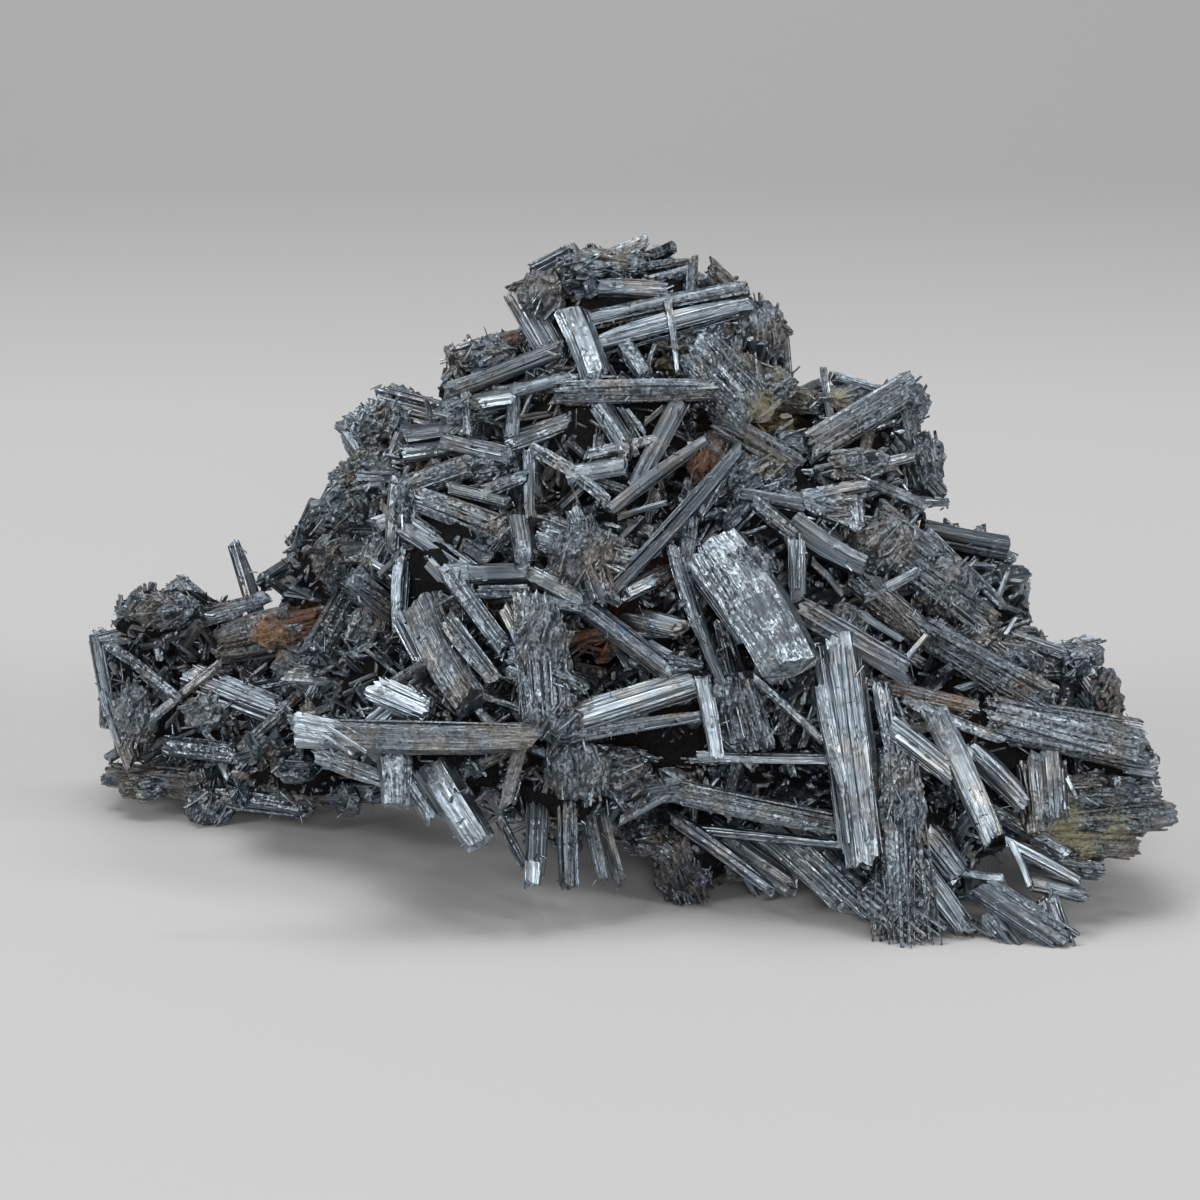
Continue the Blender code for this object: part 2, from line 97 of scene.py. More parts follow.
# ---- Top knob ----------------------------------------------------------------------------
# Short beams and stubs crowd together at the top, the two longest ending in flat breaks.
# They are stibnite, an opaque lead-grey sulphide with a metal's shine, and each is held
# only where it grew out of its neighbours.  How crystals are finished and grown comes first.
class Thread:
    """A socket of a shader; arithmetic on it adds the nodes that work it out."""

    def __init__(self, tree, end=None):
        self.tree = tree
        self.end = end

    def node(self, kind, settings=None, give=0, **values):
        """Output `give` of a new node, its settings set first, then its inputs by name or place."""
        made = self.tree.nodes.new("ShaderNode" + kind)
        for name, value in (settings or {}).items():
            if name == "stops":
                steps = made.color_ramp.elements
                while len(steps) < len(value):
                    steps.new(1.0)
                for step, (position, colour) in zip(steps, value):
                    step.position = position
                    step.color = colour
            else:
                setattr(made, name, value)
        for name, value in values.items():
            plain = name.replace("_", " ")
            spot = made.inputs[int(name[1:])] if name[0] == "_" else made.inputs[plain]
            if isinstance(value, Thread):
                self.tree.links.new(value.end, spot)
            else:
                spot.default_value = value
        return Thread(self.tree, made.outputs[give])

    def maths(self, operation, *values, clamp=False):
        """A Math node on values or other sockets."""
        named = {f"_{i}": value for i, value in enumerate(values)}
        return self.node("Math", {"operation": operation, "use_clamp": clamp}, **named)

    def __add__(self, other):
        return self.maths("ADD", self, other)

    def __sub__(self, other):
        return self.maths("SUBTRACT", self, other)

    def __rsub__(self, other):
        return self.maths("SUBTRACT", other, self)

    def __mul__(self, other):
        return self.maths("MULTIPLY", self, other)

    __radd__, __rmul__ = __add__, __mul__

    def held(self):
        """The value kept between 0 and 1."""
        return self.maths("ADD", self, 0.0, clamp=True)

    def ramped(self, low, high):
        """0 below low and 1 above high, with a soft change between."""
        return self.node("MapRange", {"interpolation_type": "SMOOTHSTEP"},
                         Value=self, From_Min=low, From_Max=high)

    def coloured(self, colours, levels=(0.0, 0.5, 1.0)):
        """Each colour where the value is at its level, blended between."""
        return self.node("ValToRGB", {"stops": tuple(zip(levels, colours))}, Fac=self)

    def tinted(self, colour, share):
        """The colour moved towards another one by a share."""
        settings = {"data_type": "RGBA", "clamp_factor": True}
        return self.node("Mix", settings, give=2, _0=share, _6=self, _7=colour)

    def part(self, number):
        """One of a vector's three values."""
        return self.node("SeparateXYZ", Vector=self, give=number)

    def vector_maths(self, operation, *values, **more):
        """A Vector Math node on this vector and other values."""
        named = {f"_{i}": value for i, value in enumerate((self, *values))}
        return self.node("VectorMath", {"operation": operation}, **named, **more)

    def speckle(self, scale, detail=2.0, roughness=0.5):
        """Noise that reads this vector."""
        return self.node("TexNoise", Vector=self, Scale=scale, Detail=detail,
                         Roughness=roughness)


# Steel greys from the deepest shade to the brightest face, then what lies on them
CLEAN_STEEL = ((0.056, 0.070, 0.085, 1.0), (0.232, 0.272, 0.308, 1.0), (0.54, 0.62, 0.68, 1.0))
DULL_STEEL = ((0.088, 0.070, 0.052, 1.0), (0.262, 0.268, 0.266, 1.0), (0.58, 0.615, 0.635, 1.0))
GREY_DUST = (0.105, 0.108, 0.108, 1.0)
TAN_DUST = (0.135, 0.120, 0.100, 1.0)
RUST = (0.19, 0.075, 0.026, 1.0)
BROWN_CRUST = (0.030, 0.016, 0.009, 1.0)
OCHRE = (0.27, 0.245, 0.14, 1.0)
TARNISH_BLUE = (0.05, 0.15, 0.36, 1.0)

# How fine each pattern is: across and along a crystal to the millimetre, or to the metre
LINES = (3.4, 3.4, 0.05)
FINE_LINES = (11.0, 11.0, 0.12)
CRINKLES = (1.8, 1.8, 0.55)
WEATHERED_AREAS = 240.0
PATCHES = 420.0
CRUMBS = 2600.0
SUGAR_GRAINS = 3000.0
GROOVE_DEPTH = 0.30
GROOVE_STRENGTH = 0.8


def stibnite():
    """Finish of crystals: steel grey with fine lengthwise lines, dust, tan, rust and ochre."""
    material = bpy.data.materials.new("striated stibnite")
    material.use_nodes = True
    tree = material.node_tree
    shader = tree.nodes["Principled BSDF"]
    start = Thread(tree)
    grain = start.node("Attribute", {"attribute_name": "grain"}, give=1)
    wear = start.node("Attribute", {"attribute_name": "wear"}, give=1)
    stain = start.node("Attribute", {"attribute_name": "stain"}, give=1)
    place = start.node("TexCoord", give=3)
    tone_and_painted_light, dust, crumple = wear.part(0), wear.part(1), wear.part(2)
    rust, ochre, blue = stain.part(0), stain.part(1), stain.part(2)
    lines = grain.vector_maths("MULTIPLY", LINES).speckle(1.0)
    fine_lines = grain.vector_maths("MULTIPLY", FINE_LINES).speckle(1.0, 2.0, 0.6)
    crinkle = grain.vector_maths("MULTIPLY", CRINKLES).speckle(1.0)
    patches = place.speckle(PATCHES, 3.0, 0.6)
    crumbs = place.speckle(CRUMBS, 2.0, 0.7)

    # Steel: how bright a face is, from its tone, partly its own and partly painted light and shade,
    # its lines and any sugary grains
    grains = place.node("TexVoronoi", Vector=place, Scale=SUGAR_GRAINS, give=1)
    sugared = (crumple + patches.ramped(0.48, 0.64) * 0.5 - 0.2).held()
    streaks = lines.ramped(0.38, 0.62) * 0.26 + fine_lines.ramped(0.35, 0.65) * 0.22
    grit = (grains - 0.5) * sugared
    shine = (tone_and_painted_light * 0.8 + streaks - 0.19 + grit * 0.55).held()
    weathered = (place.speckle(WEATHERED_AREAS) + dust * 0.25 - 0.06).ramped(0.47, 0.70)
    colour = shine.coloured(CLEAN_STEEL).tinted(shine.coloured(DULL_STEEL), weathered)

    # Dust, then brown crust and rust, ochre powder and blue tarnish where they have spread
    dusty = (dust + patches.ramped(0.45, 0.75) * 0.5 + crumbs * 0.3 - 0.45).held()
    colour = colour.tinted(GREY_DUST, dusty * 0.75)
    tanned = patches.ramped(0.57, 0.70) * 0.5 + (dust - 0.5).held() * 2.0
    colour = colour.tinted(TAN_DUST, tanned * dusty)
    crusted = (rust + patches * 0.6 - 0.9).ramped(0.0, 0.5)
    colour = colour.tinted(BROWN_CRUST, crusted * 0.8)
    stained = (rust + patches * 0.8 + crumbs * 1.0 - 1.54).ramped(0.0, 0.30) * 0.85
    colour = colour.tinted(RUST, stained)
    powdered = (ochre + patches * 0.8 + crumbs * 1.1 - 1.40).ramped(0.0, 0.35) * 0.85
    colour = colour.tinted(OCHRE, powdered * 0.85)
    tarnished = (blue + lines * 0.5 - 0.55).ramped(0.0, 0.4)
    colour = colour.tinted(TARNISH_BLUE, tarnished * 0.8)
    covered = (stained + powdered + dusty * 0.7).held()
    metallic = 1.0 - covered * 0.85
    roughness = (0.29 + fine_lines * 0.12 + covered * 0.35 + sugared * 0.12 - tone_and_painted_light * 0.08).held()

    # Relief: grooves and crinkles, with each sugary grain's face turned its own way
    height = lines * 0.5 + fine_lines * 0.16 + crinkle * crumple * 0.9
    height = height + crumbs * (covered + sugared) * 0.3
    turned = grains.vector_maths("SUBTRACT", (0.5, 0.5, 0.5))
    turned = turned.vector_maths("SCALE", _3=sugared * 1.3 + 0.06)
    facing = start.node("NewGeometry", give=1).vector_maths("ADD", turned)
    facing = facing.vector_maths("NORMALIZE")
    bump = height.node("Bump", Strength=GROOVE_STRENGTH, Distance=GROOVE_DEPTH * MM,
                       Height=height, Normal=facing)
    tree.links.new(colour.end, shader.inputs["Base Color"])
    tree.links.new(metallic.end, shader.inputs["Metallic"])
    tree.links.new(roughness.end, shader.inputs["Roughness"])
    tree.links.new(bump.end, shader.inputs["Normal"])
    return material


crystal_finish = stibnite()

# Stains: a place (across, down, back), how far it reaches, then rust, ochre and blue there
STAINS = np.array((
    (51.0, 34.0, 19.0, 2.6, 0.9, 0.0, 0.0),
    (67.5, 35.4, 16.0, 3.4, 0.75, 0.75, 0.0),
    (73.0, 33.4, 17.0, 3.6, 0.85, 0.1, 0.0),
    (42.6, 46.4, 16.0, 3.4, 0.8, 0.0, 0.0),
    (49.5, 48.0, 13.0, 2.2, 0.7, 0.0, 0.0),
    (71.5, 46.4, 11.0, 4.6, 0.92, 0.3, 0.0),
    (75.8, 40.8, 10.0, 2.8, 0.4, 0.95, 0.0),
    (77.4, 42.2, 12.0, 3.2, 0.95, 0.75, 0.0),
    (84.0, 40.0, 12.0, 1.8, 0.1, 0.8, 0.0),
    (90.5, 40.5, 12.0, 1.6, 0.7, 0.0, 0.0),
    (66.0, 57.0, 8.0, 4.5, 0.8, 0.0, 0.0),
    (60.0, 64.5, 8.0, 4.5, 0.9, 0.0, 0.0),
    (90.0, 68.6, 6.0, 2.8, 0.92, 0.1, 0.0),
    (95.0, 70.0, 6.0, 3.4, 0.92, 0.6, 0.0),
    (68.4, 88.0, 13.0, 3.6, 0.1, 0.45, 0.0),
    (82.6, 40.6, 12.0, 2.4, 0.2, 0.5, 0.0),
    (88.6, 81.0, 3.5, 2.2, 1.05, 0.0, 0.0),
    (101.0, 79.6, 4.5, 1.6, 0.9, 0.0, 0.0),
    (106.0, 82.2, 6.0, 2.8, 0.1, 1.05, 0.0),
    (111.5, 82.6, 7.0, 2.6, 0.2, 0.8, 0.0),
    (108.5, 84.8, 6.5, 1.8, 0.1, 1.0, 0.0),
    (112.5, 85.6, 8.0, 1.8, 0.8, 0.2, 0.0),
    (27.0, 63.4, 32.0, 3.6, 1.0, 0.6, 0.0),
    (31.4, 62.0, 31.0, 3.6, 1.0, 0.2, 0.0),
    (31.0, 70.0, 33.0, 3.4, 0.8, 0.0, 0.0),
    (15.0, 78.0, 41.0, 3.6, 0.8, 0.1, 0.0),
    (38.0, 77.0, 6.0, 2.2, 0.6, 0.0, 0.0),
    (38.0, 62.0, 20.0, 4.0, 0.9, 0.0, 0.0),
    (76.0, 85.2, 12.0, 3.0, 0.7, 0.0, 0.0),
    (64.0, 80.0, 9.0, 3.6, 0.7, 0.1, 0.0),
    (55.0, 73.6, 6.0, 1.8, 0.4, 0.5, 0.0),
    (31.0, 74.6, 3.5, 1.8, 0.4, 0.5, 0.0),
    (89.0, 71.0, 5.0, 2.0, 0.1, 0.5, 0.0),
    (96.6, 53.8, 13.0, 0.8, 0.0, 0.0, 0.8),
    (62.5, 63.2, 4.5, 0.6, 0.0, 0.0, 0.8),
    (55.4, 53.4, 7.5, 0.6, 0.0, 0.0, 0.8),
    (85.5, 69.5, 3.4, 0.7, 0.0, 0.0, 0.7),
    (100.2, 88.5, 4.0, 0.7, 0.0, 0.0, 0.9),
    (30.5, 66.5, 32.0, 0.7, 0.0, 0.0, 0.9),
    (36.2, 59.7, 27.0, 0.7, 0.0, 0.0, 0.9),
    (62.6, 38.6, 9.5, 0.5, 0.0, 0.0, 0.8),
    (76.6, 38.4, 13.0, 2.6, 0.3, 0.8, 0.0),
    (75.0, 33.6, 17.0, 2.6, 0.5, 0.5, 0.0),
    (60.0, 26.0, 19.0, 1.8, 0.5, 0.2, 0.0),
    (81.2, 66.0, 1.5, 1.0, 0.0, 0.0, 0.6),
))
STAIN_FALL = 0.7                     # how fast a stain fades with distance


def stains_at(points):
    """Rust, ochre and blue at world points."""
    total = np.zeros((len(points), 3))
    for centre, row in zip(sighted(STAINS[:, :3]), STAINS):
        gap = np.linalg.norm(points - centre, axis=-1) / row[3]
        total = np.maximum(total, np.exp(-gap[:, None] ** 2 * STAIN_FALL) * row[4:])
    return total


def noted(mesh, name, vectors):
    """Keeps a vector for each point of a mesh, for its finish to read."""
    layer = mesh.attributes.new(name, "FLOAT_VECTOR", "POINT")
    layer.data.foreach_set("vector", vectors.astype(np.float32).ravel())


def set_on_part(name, mesh, finish):
    """Makes a mesh into a piece that rides on the part and stands for its node."""
    mesh.materials.append(finish)
    piece = bpy.data.objects.new(name, mesh)
    bpy.context.scene.collection.objects.link(piece)
    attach(piece, "root")
    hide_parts("crystal_spray")


# A crystal of this habit is a flattened six-cornered prism whose faces are grooved from end
# to end.  Most are really sheaves of thinner ones side by side, broken off at their ends.
CORNERS = np.radians((0.0, 52.0, 128.0, 180.0, 232.0, 308.0))
TABLE_GAP = 0.22                     # a tip's middle stays this share of its width above the table
PROUD = 0.8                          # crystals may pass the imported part's box by this much
OFF_TRUE = 0.12                      # how far a corner strays, as a share of the width
SHALLOW = 0.2                        # depth of the flats between two grooves, as a share
UNEVEN = 0.25                        # how much a groove's depth changes along a crystal
MOST_TAPER = 0.28
LONGEST_SLANT = 0.45                 # how far a broken end may reach into its last length


def unit(vectors):
    """Vectors of length 1 the same way."""
    return vectors / np.linalg.norm(vectors, axis=-1, keepdims=True)


def kept_on_table(near, far, width):
    """The ends of crystals, drawn in so that none dips under the table."""
    least = width * TABLE_GAP
    drop = near[:, 2] - far[:, 2]
    for end, other, fall in ((near, far, -drop), (far, near, drop)):
        low = (end[:, 2] < least) & (fall > 1e-6)
        share = np.clip((other[:, 2] - least) / np.where(low, fall, 1.0), 0.05, 1.0)
        end[low] = (other + (end - other) * share[:, None])[low]


class Growth:
    """Crystals gathered into one mesh, with their own grain, tone and dust kept on the points."""

    def __init__(self, name, seed):
        self.name = name
        self.draw = np.random.default_rng(seed)
        self.points = []
        self.grain = []
        self.wear = []
        self.faces = []
        self.count = 0

    def keep(self, points, grain, wear, faces):
        """Takes points (crystal, point, axis) with faces that count from each crystal's first."""
        crystals, each = points.shape[:2]
        first = self.count + np.arange(crystals) * each
        for kind in faces:
            self.faces += (kind[None] + first[:, None, None]).reshape(-1, kind.shape[1]).tolist()
        self.points.append(points.reshape(-1, 3))
        self.grain.append(grain.reshape(-1, 3))
        self.wear.append(np.repeat(wear, each, axis=0))
        self.count += crystals * each

    def prisms(self, near, far, flat_way, width, thick, wear, sides, rings, groove, jag,
               slant=0.8, bow=0.020):
        """Grooved prisms from near to far; every argument up to wear has a row per crystal.

        Wear and painted light is a crystal's tone, partly its own and partly painted light and shade,
        then its dust and how crumpled its faces are, each 0 to 1.
        """
        draw = self.draw
        near, far = near.copy(), far.copy()
        kept_on_table(near, far, width)
        count = len(near)
        axis = far - near
        length = np.linalg.norm(axis, axis=-1)
        along = axis / length[:, None]
        flat = unit(flat_way - along * (flat_way * along).sum(-1, keepdims=True))
        thin = np.cross(along, flat)

        # Cross-section: the six corners, a little off true, with grooves along the sides
        per_edge = sides // len(CORNERS)
        spot = np.arange(sides)
        edge, step = spot // per_edge, spot % per_edge
        share = (step + draw.uniform(-0.3, 0.3, (count, sides)) * (step > 0)) / per_edge
        corner = np.stack((np.cos(CORNERS), np.sin(CORNERS)), -1)
        shift = draw.uniform(-OFF_TRUE, OFF_TRUE, (count, len(CORNERS), 1))
        corner = corner * (1.0 + shift)
        start, end = corner[:, edge], corner[:, (edge + 1) % len(CORNERS)]
        outline = start + (end - start) * share[..., None]
        depth = groove * np.where(step % 2 == 1, 1.0, SHALLOW) * draw.uniform(0.3, 1.0, (count, sides))
        changing = draw.uniform(1.0 - UNEVEN, 1.0 + UNEVEN, (count, rings, sides))
        shrink = 1.0 - depth[:, None] * changing

        # Along the crystal: rings at uneven places, a slight taper and a slight bow
        place = np.linspace(0.0, 1.0, rings) * np.ones((count, 1))
        gap = 1.0 / (rings - 1)
        place[:, 1:-1] += draw.uniform(-0.3, 0.3, (count, rings - 2)) * gap
        narrowing = 1.0 - draw.uniform(0.0, MOST_TAPER, (count, 1)) * place
        narrowing *= draw.uniform(0.96, 1.03, (count, rings))
        size = np.stack((width, thick), -1)[:, None, None] / 2.0
        flat_xy = outline[:, None] * (shrink * narrowing[..., None])[..., None] * size
        curve = 4.0 * place * (1.0 - place)
        sway = draw.normal(0.0, bow, (count, 2, 1)) * length[:, None, None] * curve[:, None]
        x = flat_xy[..., 0] + sway[:, 0, :, None]
        y = flat_xy[..., 1] + sway[:, 1, :, None]
        z = place[..., None] * length[:, None, None] * np.ones(sides)

        # Ends: slanted, jagged breaks, each closed by a fan to a dented middle
        reach = (LONGEST_SLANT * gap * length)[:, None]
        for ring in (0, rings - 1):
            lean = draw.uniform(-slant, slant, (count, 2))
            off = (lean[:, None] * flat_xy[:, ring]).sum(-1)
            off += draw.uniform(-jag, jag, (count, sides)) * width[:, None]
            z[:, ring] += np.clip(off, -reach, reach)
        own = np.stack((x, y, z), -1)
        dent = draw.uniform(-0.12, 0.3, (count, 2)) * width[:, None]
        heads = own[:, (0, -1)].mean(2)
        heads[..., 2] += np.clip(dent, -reach, reach)
        own = np.concatenate((own.reshape(count, -1, 3), heads), 1)
        world = near[:, None] + own[..., :1] * flat[:, None] + own[..., 1:2] * thin[:, None]
        world = world + own[..., 2:] * along[:, None]
        world[..., 2] = np.maximum(world[..., 2], 0.0)

        # Faces: four-cornered walls between rings, then the two fans
        ring, side = np.meshgrid(np.arange(rings - 1), spot, indexing="ij")
        after = (side + 1) % sides
        low, high = ring * sides, (ring + 1) * sides
        walls = np.stack((low + side, low + after, high + after, high + side), -1).reshape(-1, 4)
        last = (rings - 1) * sides
        tail = np.stack((np.full(sides, rings * sides), (spot + 1) % sides, spot), -1)
        head = np.stack((np.full(sides, rings * sides + 1), last + spot,
                         last + (spot + 1) % sides), -1)
        offset = draw.uniform(0.0, 400.0, (count, 1, 3))
        self.keep(world, own + offset, wear, (walls, np.concatenate((tail, head))))

    def splinters(self, near, far, flat_way, width, thick, wear, rings, jag, **more):
        """Small six-sided prisms without grooves."""
        self.prisms(near, far, flat_way, width, thick, wear, len(CORNERS), rings, 0.0, jag, **more)

    def some_wear(self, count, low, high):
        """Wear between two (tone, dust, crumple)."""
        return self.draw.uniform(low, high, (count, 3))

    def piece(self):
        """Turns what has grown into a piece."""
        points = np.concatenate(self.points)
        low, high = (np.array(corner) / MM for corner in packed_box)
        points = np.clip(points, low - PROUD, high + PROUD)
        points[:, 2] = np.maximum(points[:, 2], 0.0)
        mesh = bpy.data.meshes.new(self.name)
        mesh.from_pydata((points * MM).tolist(), [], self.faces)
        noted(mesh, "grain", np.concatenate(self.grain))
        noted(mesh, "wear", np.concatenate(self.wear))
        noted(mesh, "stain", stains_at(points))
        set_on_part(self.name, mesh, crystal_finish)


# What a crystal may be called, and how such a one is made: thickness over width, strands
# for its width, how far they stray as a share of length, jagged ends and depth of groove
MAKES = {
    "sheaf": (0.72, 4.0, 0.016, 0.13, 0.05),
    "lean": (0.72, 2.2, 0.018, 0.13, 0.06),
    "blade": (0.40, 3.2, 0.012, 0.14, 0.08),
    "block": (0.78, 0.0, 0.000, 0.04, 0.03),
    "rough": (0.80, 5.0, 0.080, 0.25, 0.16),
    "plain": (0.72, 0.0, 0.000, 0.06, 0.07),
}
FINE = 1.0                           # crystals narrower than this are single
STRAND_WIDTH = (0.20, 0.90)
STRAND_SHARE = 0.8                   # of the strands that MAKES would give
STRAND_BOW = 0.006                   # share of the length
CORE_SHARE = 0.95                    # width of a sheaf's core among its strands
RING_LENGTH = 1.6
SIDES_BY_WIDTH = ((2.4, 36), (1.5, 24), (0.0, 12))
TONES = (0.30, 0.62)                 # of a crystal whose row gives none, and its dust
DUSTS = (0.0, 0.35)


def grow_one(growth, near, far, width, make, wear):
    """Grows a crystal of one make: its core, then the strands that sheathe it."""
    draw = growth.draw
    flatness, density, stray, jag, groove = MAKES[make]
    length = np.linalg.norm(far - near)
    along = (far - near) / length
    flat = np.cross(along, EYE_AHEAD)
    if np.linalg.norm(flat) < 0.2:
        flat = np.cross(along, SIDEWAYS)
    flat = unit(flat)
    thin = np.cross(along, flat)
    roll = draw.uniform(-0.5, 0.5)
    flat, thin = (flat * math.cos(roll) + thin * math.sin(roll),
                  thin * math.cos(roll) - flat * math.sin(roll))
    thick = width * flatness
    strands = int(round(width ** 1.3 * density * STRAND_SHARE)) if width >= FINE else 0
    core = CORE_SHARE if strands else 1.0
    sides = next(number for least, number in SIDES_BY_WIDTH if width >= least)
    rings = int(np.clip(round(length / RING_LENGTH), 3, 9))
    one = np.ones(1)
    growth.prisms(near[None], far[None], flat[None], one * width * core, one * thick * core,
                  np.array((wear,)), sides, rings, groove, jag, min(jag * 6.0, 0.8))
    if not strands:
        return
    turn = (np.arange(strands) + draw.uniform(-0.7, 0.7, strands)) * 2.0 * math.pi / strands
    thinnest, widest = STRAND_WIDTH
    wide = thinnest + (widest - thinnest) * draw.uniform(0.0, 1.0, strands) ** 2
    wide = np.minimum(wide, width * 0.4)
    out_x = np.cos(turn) * (width - wide * 0.95) / 2.0
    out_y = np.sin(turn) * (thick - wide * 0.5) / 2.0
    seat = out_x[:, None] * flat + out_y[:, None] * thin
    spill = draw.normal(0.0, stray, (strands, 2)) * length
    drift = spill[:, :1] * flat + spill[:, 1:] * thin
    trim = draw.uniform(-0.03, 0.20, (strands, 2)) * min(length, 8.0)
    one_end = near + seat + along * trim[:, :1]
    other_end = far + seat * 0.92 + drift * 0.5 - along * trim[:, 1:]
    facing = np.sin(turn)[:, None] * flat * -1.0 + np.cos(turn)[:, None] * thin
    facing += draw.normal(0.0, 0.3, (strands, 3))
    wear = wear + draw.uniform(-0.2, 0.2, (strands, 3))
    growth.splinters(one_end, other_end, facing, wide, wide * 0.6, wear, max(rings - 2, 3),
                     jag * 1.5, bow=STRAND_BOW)


def crystals_from(growth, rows):
    """Grows a list: two sighted ends, a width, then maybe a make, a tone that paints light and shade,
    dust and crumple.
    """
    draw = growth.draw
    for row in rows:
        extras = list(row[7:]) + [None] * 4
        make = extras[0] or "sheaf"
        # A listed tone paints light and shade on the crystal; an unlisted one is drawn at random
        tone_and_painted_light = draw.uniform(*TONES) if extras[1] is None else extras[1]
        dust = draw.uniform(*DUSTS) if extras[2] is None else extras[2]
        near, far = sighted((row[:3], row[3:6]))
        crumple = 1.0 if make == "rough" else draw.uniform(0.0, 1.0) ** 2
        crumple = crumple if extras[3] is None else extras[3]
        grow_one(growth, near, far, row[6], make, (tone_and_painted_light, dust, crumple))


def region(name, seed, rows):
    """Grows one region's list into a piece."""
    growth = Growth(name, seed)
    crystals_from(growth, rows)
    growth.piece()


KNOB = (
    (51.3, 29.6, 19.0, 57.5, 27.8, 17.5, 3.0, "rough", 0.33, 0.5),
    (52.0, 29.6, 18.0, 55.4, 35.4, 15.0, 3.2, "sheaf", 0.31, 0.4),
    (58.0, 26.6, 19.5, 59.2, 29.4, 14.5, 1.7, "block", 0.35, 0.1),
    (56.8, 25.0, 22.0, 58.2, 30.0, 17.0, 2.4, "block", 0.38, 0.4),
    (63.4, 26.2, 23.0, 67.3, 24.7, 19.0, 2.0, "block", 0.10, 0.2),
    (62.2, 27.0, 18.5, 69.0, 26.2, 17.5, 1.1),
    (60.2, 28.8, 15.5, 66.4, 29.0, 15.5, 2.2, "sheaf", 0.29, 0.2),
    (69.2, 26.0, 17.0, 69.1, 29.8, 15.0, 1.5),
    (57.0, 31.2, 14.0, 59.5, 37.6, 10.5, 3.3, "block", 0.66, 0.0, 0.1),
    (57.6, 32.4, 15.0, 74.6, 28.9, 15.0, 2.2, "sheaf", 0.41, 0.1),
    (59.6, 34.7, 13.5, 74.9, 30.6, 14.0, 2.2, "sheaf", 0.45, 0.1),
    (62.5, 34.6, 13.0, 64.6, 37.6, 10.0, 2.2, "block", 0.38, 0.1),
    (78.1, 32.6, 20.0, 78.6, 38.4, 18.0, 1.7, "sheaf", 0.13, 0.6),
    (45.9, 36.8, 26.0, 51.5, 35.8, 21.0, 2.4, "block", 0.33, 0.2),
    (48.4, 34.4, 23.0, 52.5, 33.6, 19.0, 2.0),
    (59.0, 26.6, 21.0, 64.4, 24.2, 21.0, 1.8),
    (71.0, 26.6, 22.0, 75.6, 31.5, 19.0, 2.0, "rough", 0.23, 0.6),
    (74.0, 30.4, 22.0, 78.3, 33.2, 19.0, 2.2, "rough", 0.19, 0.7),
    (53.0, 27.2, 22.0, 57.2, 25.0, 20.0, 1.8),
    (64.0, 28.2, 17.0, 69.4, 26.8, 16.5, 1.1),
    (66.7, 30.0, 13.5, 67.8, 37.2, 12.0, 0.9),
    (65.5, 34.5, 13.0, 64.8, 36.8, 11.5, 0.6),
)
region("top_knob", 11, KNOB)

# ---- Brow --------------------------------------------------------------------------------
# Under the knob long blades fan out sideways over the front and cross one another.  They are
# clean stibnite beside rough, dusty lumps, and their inner ends are grown into the mass.
BROW = (
    (44.6, 39.3, 15.0, 56.2, 34.8, 12.5, 2.3, "sheaf", 0.43, 0.3),
    (44.5, 41.2, 15.0, 49.0, 40.6, 12.0, 2.8, "rough", 0.33, 0.5),
    (47.6, 40.4, 12.5, 51.2, 39.8, 10.5, 2.1, "block", 0.62, 0.0),
    (51.2, 43.2, 10.0, 51.5, 38.8, 11.5, 1.8),
    (51.4, 39.2, 11.0, 57.2, 37.7, 10.5, 1.6),
    (55.6, 39.4, 10.5, 72.5, 39.0, 9.0, 3.0, "sheaf", 0.31, 0.4),
    (69.8, 35.4, 12.0, 75.0, 40.6, 9.0, 6.0, "rough"),
    (40.8, 43.4, 16.5, 45.6, 42.8, 13.0, 2.2, "block", 0.43, 0.1),
    (40.6, 45.4, 16.0, 45.0, 44.8, 13.0, 2.0),
    (44.6, 44.2, 13.0, 50.7, 45.6, 10.0, 2.3),
    (51.2, 44.2, 12.5, 56.8, 42.2, 11.0, 2.6, "sheaf", 0.55, 0.0),
    (52.9, 45.2, 9.5, 53.0, 51.8, 7.5, 1.4, "sheaf", 0.23, 0.1),
    (53.0, 44.8, 9.5, 60.8, 50.2, 7.5, 1.7, "plain"),
    (59.8, 40.4, 10.5, 63.0, 45.4, 8.0, 2.6, "sheaf", 0.33, 0.1),
    (67.9, 40.3, 9.5, 63.6, 48.6, 7.5, 2.3, "sheaf", 0.35, 0.2),
    (56.6, 47.5, 8.5, 62.6, 46.5, 7.5, 2.1, "block", 0.59, 0.0),
    (60.8, 51.1, 6.5, 70.6, 43.9, 7.5, 1.4),
    (74.0, 44.8, 8.0, 60.0, 60.2, 4.5, 1.6),
    (75.0, 39.6, 16.0, 81.5, 40.4, 12.0, 2.8, "rough", 0.18, 0.7),
    (71.5, 42.0, 10.0, 79.5, 46.5, 8.5, 3.2, "rough", 0.23, 0.6),
    (46.5, 39.3, 12.5, 46.8, 43.4, 11.0, 1.1),
    (58.6, 45.5, 9.0, 65.6, 43.9, 8.0, 1.3),
    (62.7, 41.0, 9.0, 64.5, 43.4, 8.0, 0.7),
    (70.0, 51.5, 7.5, 74.0, 45.0, 8.5, 1.2),
    (61.8, 51.8, 7.0, 66.6, 50.3, 6.5, 0.7),
)
region("brow_blades", 12, BROW)

